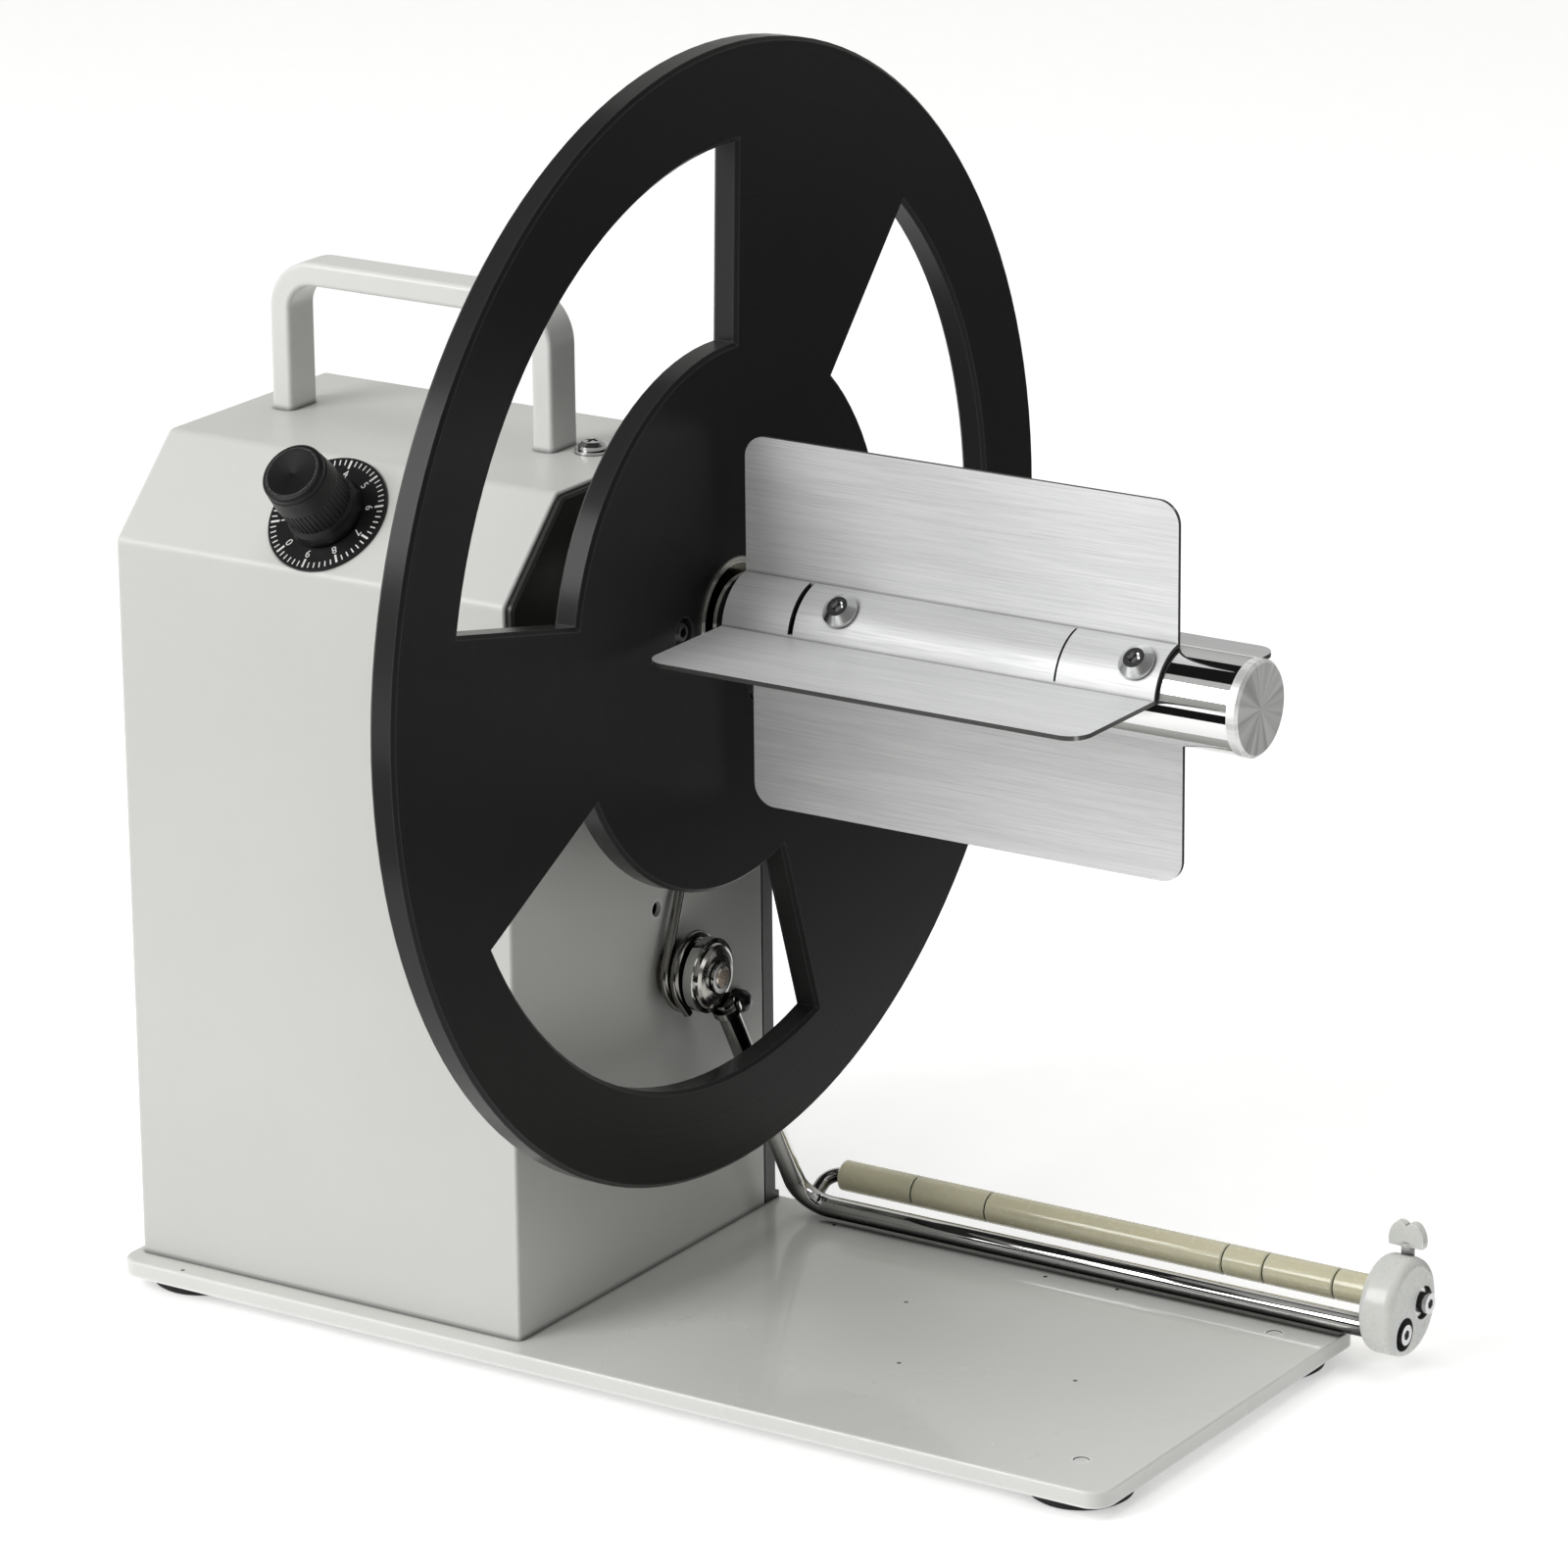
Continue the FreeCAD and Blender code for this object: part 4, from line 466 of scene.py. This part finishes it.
def chrome(name, rough=0.045, colour=(0.80, 0.80, 0.80), reach=0.012):
    """Polished plate with faint smears and a few fine scratches, darker near other pieces with painted shade.
    """
    made, tree, shader = finish(name, Metallic=1.0)
    body = use(tree, grain, Bumps_per_metre=260.0, Height=0.000002, Unevenness=0.0)
    place = put(tree, "ShaderNodeTexCoord").outputs["Object"]
    run = put(tree, "ShaderNodeMapping", {"Vector": place, "Scale": (9.0, 1.0, 1.0)})
    marks = put(tree, "ShaderNodeTexNoise", {"Vector": run.outputs[0], "Scale": 700.0, "Detail": 2.0})
    smear = put(tree, "ShaderNodeMapRange", {"Value": marks.outputs["Fac"], "From Min": 0.55, "From Max": 0.8,
                                             "To Min": rough, "To Max": rough + 0.07})
    tree.links.new(dull_to_matt_light(tree, smear.outputs[0]), shader.inputs["Roughness"])
    tone = ramp(tree, body.outputs["Cloud"], (0.3, tuple(c * 0.95 for c in colour)), (0.7, colour))
    # Painted shade near other pieces, such as the dark underside of a rod close to the base plate.
    shade_crevices(tree, tone, shader, reach, 0.95)
    tree.links.new(body.outputs["Normal"], shader.inputs["Normal"])
    return made


def turned_metal(name, colour, rough, centre=spindle_line, per_metre=1500.0, height=0.000015):
    """Metal faced and turned on a lathe, with its rings round the centre (Y, Z) and a painted highlight on
    its edges.
    """
    made, tree, shader = finish(name, Metallic=1.0)
    rings = use(tree, turned, Rings_per_metre=per_metre, Height=height, Centre_Y=centre[0],
                Centre_Z=centre[1])
    edge = use(tree, edges, Width=0.0004, Breakup=0.1)
    low = tuple(c * 0.82 for c in colour)
    tone = ramp(tree, rings.outputs["Rings"], (0.35, low), (0.65, colour))
    # Edges are painted pale as a highlight.
    lit = blend(tree, edge.outputs["Mask"], tone, (0.92, 0.92, 0.92))
    tree.links.new(lit, shader.inputs["Base Color"])
    vary_roughness(tree, shader, rings.outputs["Rings"], rough - 0.05, rough + 0.08)
    tree.links.new(rings.outputs["Normal"], shader.inputs["Normal"])
    return made


def away_from_spindle(tree, measure):
    """The way out from the spindle's line at each point: its length or its direction."""
    point = put(tree, "ShaderNodeTexCoord").outputs["Object"]
    place = put(tree, "ShaderNodeVectorMath", {0: point, 1: (0, 0, -spindle_high)}, operation="ADD")
    across = put(tree, "ShaderNodeVectorMath", {0: place.outputs[0], 1: (0, 1, 1)}, operation="MULTIPLY")
    return put(tree, "ShaderNodeVectorMath", {0: across.outputs[0]}, operation=measure)


motor_line = (0.0, 0.114)
paint(chrome("spindle_chrome", 0.035), "spindle_tube")
cap_metal, tree, shader = finish("cap_aluminium", Metallic=0.35, Anisotropic=0.7)
rings = use(tree, turned, Rings_per_metre=2400.0, Height=0.000003)
edge = use(tree, edges, Width=0.0005, Breakup=0.0)
spin = put(tree, "ShaderNodeTangent", direction_type="RADIAL", axis="X")
wedge_highlight_way = away_from_spindle(tree, "NORMALIZE")
# Colour changes in wedges round the spindle's line, a painted highlight of a radially brushed face; edges are
# painted paler as a highlight.
rays = put(tree, "ShaderNodeTexNoise", {"Vector": wedge_highlight_way.outputs[0], "Scale": 3.2, "Detail": 3.0,
                                        "Roughness": 0.5})
tone = ramp(tree, rays.outputs["Fac"], (0.36, (0.60, 0.60, 0.60)), (0.5, (0.84, 0.84, 0.835)),
            (0.62, (1.0, 1.0, 0.99)))
lit = blend(tree, edge.outputs["Mask"], tone, (0.95, 0.95, 0.95))
tree.links.new(lit, shader.inputs["Base Color"])
tree.links.new(spin.outputs[0], shader.inputs["Tangent"])
tree.links.new(rings.outputs["Normal"], shader.inputs["Normal"])
vary_roughness(tree, shader, rings.outputs["Rings"], 0.28, 0.34)
paint(cap_metal, "end_cap")
paint(turned_metal("hub_aluminium", (0.82, 0.80, 0.74), 0.26), "disc_hub", "bearing_carrier", "driven_pulley")
paint(turned_metal("small_pulley_aluminium", (0.66, 0.65, 0.62), 0.30, motor_line), "drive_pulley")
paint(turned_metal("ground_shaft_steel", (0.58, 0.58, 0.58), 0.18), "spindle_shaft", "bearing_inner_rings",
      "bearing_outer_rings")
paint(turned_metal("motor_shaft_steel", (0.60, 0.60, 0.60), 0.2, motor_line), "motor_shaft")


# Fin plates: 1.2 mm stainless sheet, brushed along its length, bent round the tube.
# Each has an upright fin, a quarter saddle and a level fin; the laser cut edges are painted dark as shade,
# and the level fin and the folds get painted shade.

def build_brushed():
    """Long hair lines along X in the sheet, as a brushing belt leaves them."""
    tree, given, out = group("brushed_sheet",
                             [("Line width", 0.0004), ("Line length", 0.03), ("Height", 0.000006)],
                             [("Normal", "NodeSocketVector"), ("Lines", "NodeSocketFloat"),
                              ("Bands", "NodeSocketFloat")])
    place = put(tree, "ShaderNodeTexCoord").outputs["Object"]
    across = put(tree, "ShaderNodeMath", {0: 1.0, 1: given.outputs[0]}, operation="DIVIDE")
    along = put(tree, "ShaderNodeMath", {0: 1.0, 1: given.outputs[1]}, operation="DIVIDE")
    sizes = put(tree, "ShaderNodeCombineXYZ", {0: along.outputs[0], 1: across.outputs[0],
                                               2: across.outputs[0]})
    run = put(tree, "ShaderNodeMapping", {"Vector": place, "Scale": sizes.outputs[0]})
    lines = put(tree, "ShaderNodeTexNoise", {"Vector": run.outputs[0], "Scale": 1.0, "Detail": 4.0,
                                             "Roughness": 0.65})
    wide = put(tree, "ShaderNodeMapping", {"Vector": place, "Scale": (14.0, 210.0, 210.0)})
    bands = put(tree, "ShaderNodeTexNoise", {"Vector": wide.outputs[0], "Scale": 1.0, "Detail": 3.0})
    bump = put(tree, "ShaderNodeBump", {"Distance": given.outputs[2], "Height": lines.outputs["Fac"]})
    tree.links.new(bump.outputs[0], out.inputs[0])
    tree.links.new(lines.outputs["Fac"], out.inputs[1])
    tree.links.new(bands.outputs["Fac"], out.inputs[2])
    return tree


brushed = build_brushed()
fin_steel, tree, shader = finish("brushed_fin_steel", Metallic=0.15)
hair = use(tree, brushed, Line_width=0.00035, Line_length=0.022, Height=0.000010)
fin_root = 0.03
lie = put(tree, "ShaderNodeTexCoord").outputs["Normal"]
lie_along = put(tree, "ShaderNodeSeparateXYZ", {0: lie})
far = away_from_spindle(tree, "LENGTH")
aim = away_from_spindle(tree, "NORMALIZE")
facing = put(tree, "ShaderNodeVectorMath", {0: aim.outputs[0], 1: lie}, operation="DOT_PRODUCT")
outer = put(tree, "ShaderNodeMapRange", {"Value": facing.outputs["Value"], "From Min": 0.6, "From Max": 0.8})
past = put(tree, "ShaderNodeMath", {0: far.outputs["Value"], 1: fin_root}, operation="GREATER_THAN")
tip = put(tree, "ShaderNodeMath", {0: outer.outputs[0], 1: past.outputs[0]}, operation="MULTIPLY")
ends = put(tree, "ShaderNodeMath", {0: lie_along.outputs["X"]}, operation="ABSOLUTE")
sheared = put(tree, "ShaderNodeMapRange", {"Value": ends.outputs[0], "From Min": 0.6, "From Max": 0.8})
edge_painted_shade = put(tree, "ShaderNodeMath", {0: tip.outputs[0], 1: sheared.outputs[0]}, operation="MAXIMUM")
tone = ramp(tree, hair.outputs["Lines"], (0.32, (0.80, 0.805, 0.815)), (0.55, (0.94, 0.945, 0.95)),
            (0.72, (1.0, 1.0, 1.0)))
soft = ramp(tree, hair.outputs["Bands"], (0.3, 0.92), (0.7, 1.0))
# Faces turned upwards, such as the level fin, are painted darker as shade.
upward_painted_shade = put(tree, "ShaderNodeMapRange", {"Value": lie_along.outputs["Z"], "From Min": 0.1, "From Max": 0.9,
                                          "To Min": 1.0, "To Max": 0.80})
level_tone = put(tree, "ShaderNodeMath", {0: soft, 1: upward_painted_shade.outputs[0]}, operation="MULTIPLY")
both = put(tree, "ShaderNodeMix", {0: 1.0, 6: tone, 7: level_tone.outputs[0]}, data_type="RGBA",
           blend_type="MULTIPLY")
# The laser cut edges are painted dark and the folds darker, as shade.
lit = blend(tree, edge_painted_shade.outputs[0], both.outputs[2], (0.07, 0.07, 0.068))
shade_crevices(tree, lit, shader, 0.0016, 0.92)
vary_roughness(tree, shader, hair.outputs["Lines"], 0.50, 0.36)
tree.links.new(hair.outputs["Normal"], shader.inputs["Normal"])
paint(fin_steel, "fin_plate_upper", "fin_plate_lower")


# Screws, nuts and rings: headed and thread-rolled steel, zinc plated where bright and black oxide
# where they hold black pieces. The board stands on turned brass standoffs.

def screw_metal(name, colour, rough, metal=1.0):
    """Plated or blackened steel with fine grain, with a painted highlight on its edges and painted shade
    where it meets other pieces.
    """
    made, tree, shader = finish(name, Metallic=metal)
    body = use(tree, grain, Bumps_per_metre=3500.0, Height=0.000006, Unevenness=0.2)
    edge = use(tree, edges, Width=0.0002, Breakup=0.3)
    tone = ramp(tree, body.outputs["Speck"], (0.3, tuple(c * 0.85 for c in colour)), (0.7, colour))
    pale = tuple(min(0.95, c * 1.25 + 0.03) for c in colour)
    lit = blend(tree, edge.outputs["Mask"], tone, pale)
    # Painted shade where the screw meets other pieces, such as a dark ring round a head.
    shade_crevices(tree, lit, shader, 0.0008, 0.92)
    vary_roughness(tree, shader, body.outputs["Speck"], rough - 0.04, rough + 0.06)
    tree.links.new(body.outputs["Normal"], shader.inputs["Normal"])
    return made


zinc = screw_metal("bright_zinc", (0.66, 0.665, 0.67), 0.17)
paint(zinc, "fin_screws", "top_screw", "rod_end_screws", "housing_screws", "bracket_screws",
      "motor_screws", "handle_screws", "board_screws", "stud_nut", "pot_nut", "spring_anchor_screw",
      "retaining_ring")
paint(screw_metal("black_oxide", (0.03, 0.03, 0.032), 0.32, 0.6), "disc_screws", "carrier_bolts",
      "rear_cover_screws", "bearing_plate_screws")
paint(screw_metal("standoff_brass", (0.72, 0.52, 0.24), 0.25), "board_standoffs")


# Rubber feet and drive belt: the feet are moulded black rubber with a dull bloom, screwed up under
# the base plate. The round belt is a little smoother.

rubber = plastic("foot_rubber", (0.018, 0.018, 0.018), 0.72, 1800.0, 0.00003, 1.6, Specular_IOR_Level=0.3)
paint(rubber, "rubber_feet")
paint(plastic("belt_rubber", (0.022, 0.021, 0.02), 0.5, 2500.0, 0.00001, 1.4), "drive_belt")


# Speed control: black printed dial on the front slope and a fluted black knob with a silver ring.
# The white ticks and numbers are a thin print, 0.03 mm proud of the dial.

slope_out = Vector((0, -math.sqrt(0.5), math.sqrt(0.5)))
slope_up = Vector((0, math.sqrt(0.5), math.sqrt(0.5)))
dial_low, dial_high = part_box("dial_plate")
dial_half_thick = 0.0004
dial_centre = (dial_low + dial_high) / 2 + slope_out * dial_half_thick
dial_lift = 0.00003
dial_start = -144.0
tick_count = 60
tick_end_r = 0.0163
short_tick = (0.0147, 0.00017)
long_tick = (0.0138, 0.00030)
tick_thick = 0.00002
number_count = 10
number_r = 0.0121
number_high = 0.0031
number_thick = 0.00001


def on_dial(r, angle):
    """Point on the dial's face; the angle runs clockwise from the top."""
    a = math.radians(angle)
    return (dial_centre + slope_out * dial_lift + Vector((1, 0, 0)) * (r * math.sin(a))
            + slope_up * (r * math.cos(a)))


def new_piece(name, mesh, material, body_name):
    """Adds a piece that the CAD frame hasn't got."""
    piece = bpy.data.objects.new(name, mesh)
    bpy.context.scene.collection.objects.link(piece)
    mesh.materials.append(material)
    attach(piece, body_name)


def thin_plate(bm, corners, out, thick):
    """Adds a closed sliver of print with the given corners to a mesh."""
    low = [bm.verts.new(p) for p in corners]
    high = [bm.verts.new(p + out * thick) for p in corners]
    bm.faces.new(high)
    bm.faces.new(list(reversed(low)))
    count = len(corners)
    for i in range(count):
        bm.faces.new((low[i], low[(i + 1) % count], high[(i + 1) % count], high[i]))


def make_dial_marks():
    """Ticks all round the rim; each one that points at a number is longer."""
    bm = bmesh.new()
    for k in range(tick_count):
        angle = 360.0 / tick_count * k + dial_start
        r, half = long_tick if k % (tick_count // number_count) == 0 else short_tick
        side = on_dial(1.0, angle + 90) - on_dial(0.0, 0)
        corners = [on_dial(r, angle) - side * half, on_dial(tick_end_r, angle) - side * half,
                   on_dial(tick_end_r, angle) + side * half, on_dial(r, angle) + side * half]
        thin_plate(bm, corners, slope_out, tick_thick)
    mesh = bpy.data.meshes.new("dial_ticks")
    bmesh.ops.recalc_face_normals(bm, faces=bm.faces)
    bm.to_mesh(mesh)
    bm.free()
    return mesh


def make_dial_numbers():
    """Plain numbers 0 to 9 in a ring, turned so that each one's foot points to the knob."""
    bm = bmesh.new()
    for value in range(number_count):
        angle = 360.0 / number_count * value + dial_start
        letters = bpy.data.curves.new("number", "FONT")
        letters.body = str(value)
        letters.size = number_high
        letters.align_x = "CENTER"
        letters.align_y = "CENTER"
        letters.extrude = number_thick
        letters.resolution_u = 3
        sample = bpy.data.objects.new("number", letters)
        bpy.context.scene.collection.objects.link(sample)
        bpy.context.view_layer.update()
        mesh = bpy.data.meshes.new_from_object(sample)
        up = on_dial(1.0, angle) - on_dial(0.0, 0)
        right = on_dial(1.0, angle + 90) - on_dial(0.0, 0)
        axes = Matrix((right, up, slope_out)).transposed().to_4x4()
        mesh.transform(Matrix.Translation(on_dial(number_r, angle)) @ axes)
        bm.from_mesh(mesh)
        bpy.data.objects.remove(sample)
        bpy.data.meshes.remove(mesh)
    mesh = bpy.data.meshes.new("dial_numbers")
    bm.to_mesh(mesh)
    bm.free()
    return mesh


print_white = plastic("dial_print", (0.80, 0.80, 0.78), 0.45, 4000.0, 0.000003, 1.0)
new_piece("dial_ticks", make_dial_marks(), print_white, "base")
new_piece("dial_numbers", make_dial_numbers(), print_white, "base")
paint(plastic("dial_black", (0.008, 0.008, 0.0083), 0.36, 2200.0, 0.000004, 2.4, Specular_IOR_Level=0.25),
      "dial_plate")
paint(plastic("knob_black", (0.007, 0.007, 0.0073), 0.34, 2600.0, 0.000012, 5.0, Specular_IOR_Level=0.28),
      "speed_knob")
paint(screw_metal("knob_ring_silver", (0.78, 0.78, 0.78), 0.16), "knob_ring")
paint(screw_metal("pot_shaft_steel", (0.6, 0.6, 0.6), 0.25), "pot_shaft", "potentiometer")


# Tension arm: bent steel rod and hub in bright chrome, with a brazed axle for the rollers.
# The torsion spring is darker oiled wire; its turns sit round the hub's sleeve.

arm_pivot = (0.0155, 0.09)
paint(chrome("arm_chrome", 0.05, (0.80, 0.795, 0.78), 0.03), "tension_arm")
paint(turned_metal("washer_steel", (0.46, 0.45, 0.42), 0.13, arm_pivot, 2600.0), "cup_washer")
paint(turned_metal("stud_steel", (0.50, 0.42, 0.34), 0.24, arm_pivot, 2600.0), "arm_stud")
paint(screw_metal("spring_wire", (0.24, 0.235, 0.22), 0.14), "torsion_spring")
paint(plastic("sensor_black", (0.015, 0.015, 0.015), 0.3, 2500.0, 0.000006, 2.0), "arm_sensor")


# Roller sleeves: natural nylon tube, cut into six lengths that turn on the arm's thin rod.
# Light goes a little way into the nylon, so the ends glow.

def nylon(name, colour, deep, rough, coat, reach):
    """Turned or moulded nylon, deeper in tone in slow clouds, paler at its edges as a painted highlight and
    darker in crevices as painted shade.
    """
    made, tree, shader = finish(name, Subsurface_Weight=0.35, Subsurface_Radius=(0.004, 0.003, 0.002),
                                Subsurface_Scale=1.0, Coat_Weight=coat, Coat_Roughness=0.03)
    body = use(tree, grain, Bumps_per_metre=500.0, Height=0.0000003, Unevenness=0.2)
    edge = use(tree, edges, Width=0.0005, Breakup=0.2)
    tone = ramp(tree, body.outputs["Cloud"], (0.3, deep), (0.7, colour))
    pale = tuple(min(0.95, c * 1.18 + 0.02) for c in colour)
    lit = blend(tree, edge.outputs["Mask"], tone, pale)
    # Painted shade in crevices, such as in the collar's recesses.
    shade_crevices(tree, lit, shader, reach, 0.92)
    vary_roughness(tree, shader, body.outputs["Speck"], rough - 0.05, rough + 0.07)
    tree.links.new(body.outputs["Normal"], shader.inputs["Normal"])
    return made


paint(nylon("roller_nylon", (0.84, 0.79, 0.58), (0.76, 0.71, 0.50), 0.24, 0.6, 0.0008), "roller_sleeves")


# End collar and wing screw: white nylon, the collar turned and bored for both rods, the wing screw
# moulded. The wing screw stands in the collar's top.

white_nylon = nylon("white_nylon", (0.80, 0.81, 0.78), (0.76, 0.77, 0.74), 0.28, 0.25, 0.0045)
paint(white_nylon, "end_collar", "wing_screw")


# Rear switch and socket: black moulded plastic, snapped or screwed into the rear cover.
# The rocker is glossy red plastic.

moulded_black = plastic("moulded_black", (0.016, 0.016, 0.016), 0.38, 2200.0, 0.00001, 2.0)
paint(moulded_black, "power_inlet", "switch_body")
paint(plastic("rocker_red", (0.42, 0.02, 0.012), 0.28, 2500.0, 0.000004, 1.5, Coat_Weight=0.3),
      "power_rocker")


# Drive: a bracket bent from zinc plated sheet holds the gearmotor and the rear bearing.
# The motor's can is drawn steel with faint turning marks.

plated, tree, shader = finish("plated_bracket", Metallic=1.0)
flow = use(tree, grain, Bumps_per_metre=140.0, Height=0.000004, Unevenness=1.0)
edge = use(tree, edges, Width=0.0004, Breakup=0.2)
tone = ramp(tree, flow.outputs["Speck"], (0.3, (0.50, 0.51, 0.52)), (0.7, (0.64, 0.645, 0.65)))
# Edges are painted pale as a highlight.
lit = blend(tree, edge.outputs["Mask"], tone, (0.85, 0.85, 0.85))
tree.links.new(lit, shader.inputs["Base Color"])
vary_roughness(tree, shader, flow.outputs["Cloud"], 0.25, 0.4)
tree.links.new(flow.outputs["Normal"], shader.inputs["Normal"])
paint(plated, "motor_bracket")
motor_can_line = (0.0, 0.107)
paint(turned_metal("motor_can_steel", (0.55, 0.55, 0.55), 0.3, motor_can_line), "gearmotor")


# Control board: green glass-fibre laminate on standoffs inside the housing.
# What rises above the laminate is toned as its dark and pale parts.

laminate_top = 0.0183
board, tree, shader = finish("board_green", Coat_Weight=0.4, Coat_Roughness=0.1)
place = put(tree, "ShaderNodeTexCoord").outputs["Object"]
height = put(tree, "ShaderNodeSeparateXYZ", {0: place}).outputs["Z"]
raised = put(tree, "ShaderNodeMath", {0: height, 1: laminate_top}, operation="GREATER_THAN")
weave = put(tree, "ShaderNodeTexNoise", {"Vector": place, "Scale": 900.0, "Detail": 2.0})
laminate = ramp(tree, weave.outputs["Fac"], (0.3, (0.012, 0.085, 0.035)), (0.7, (0.02, 0.14, 0.06)))
cells = put(tree, "ShaderNodeTexVoronoi", {"Vector": place, "Scale": 40.0})
parts_tone = ramp(tree, cells.outputs["Distance"], (0.2, (0.02, 0.02, 0.022)), (0.8, (0.25, 0.25, 0.26)))
both = blend(tree, raised.outputs[0], laminate, parts_tone)
tree.links.new(both, shader.inputs["Base Color"])
level = put(tree, "ShaderNodeMapRange", {"Value": weave.outputs["Fac"], "To Min": 0.3, "To Max": 0.5})
tree.links.new(level.outputs[0], shader.inputs["Roughness"])
paint(board, "control_board")
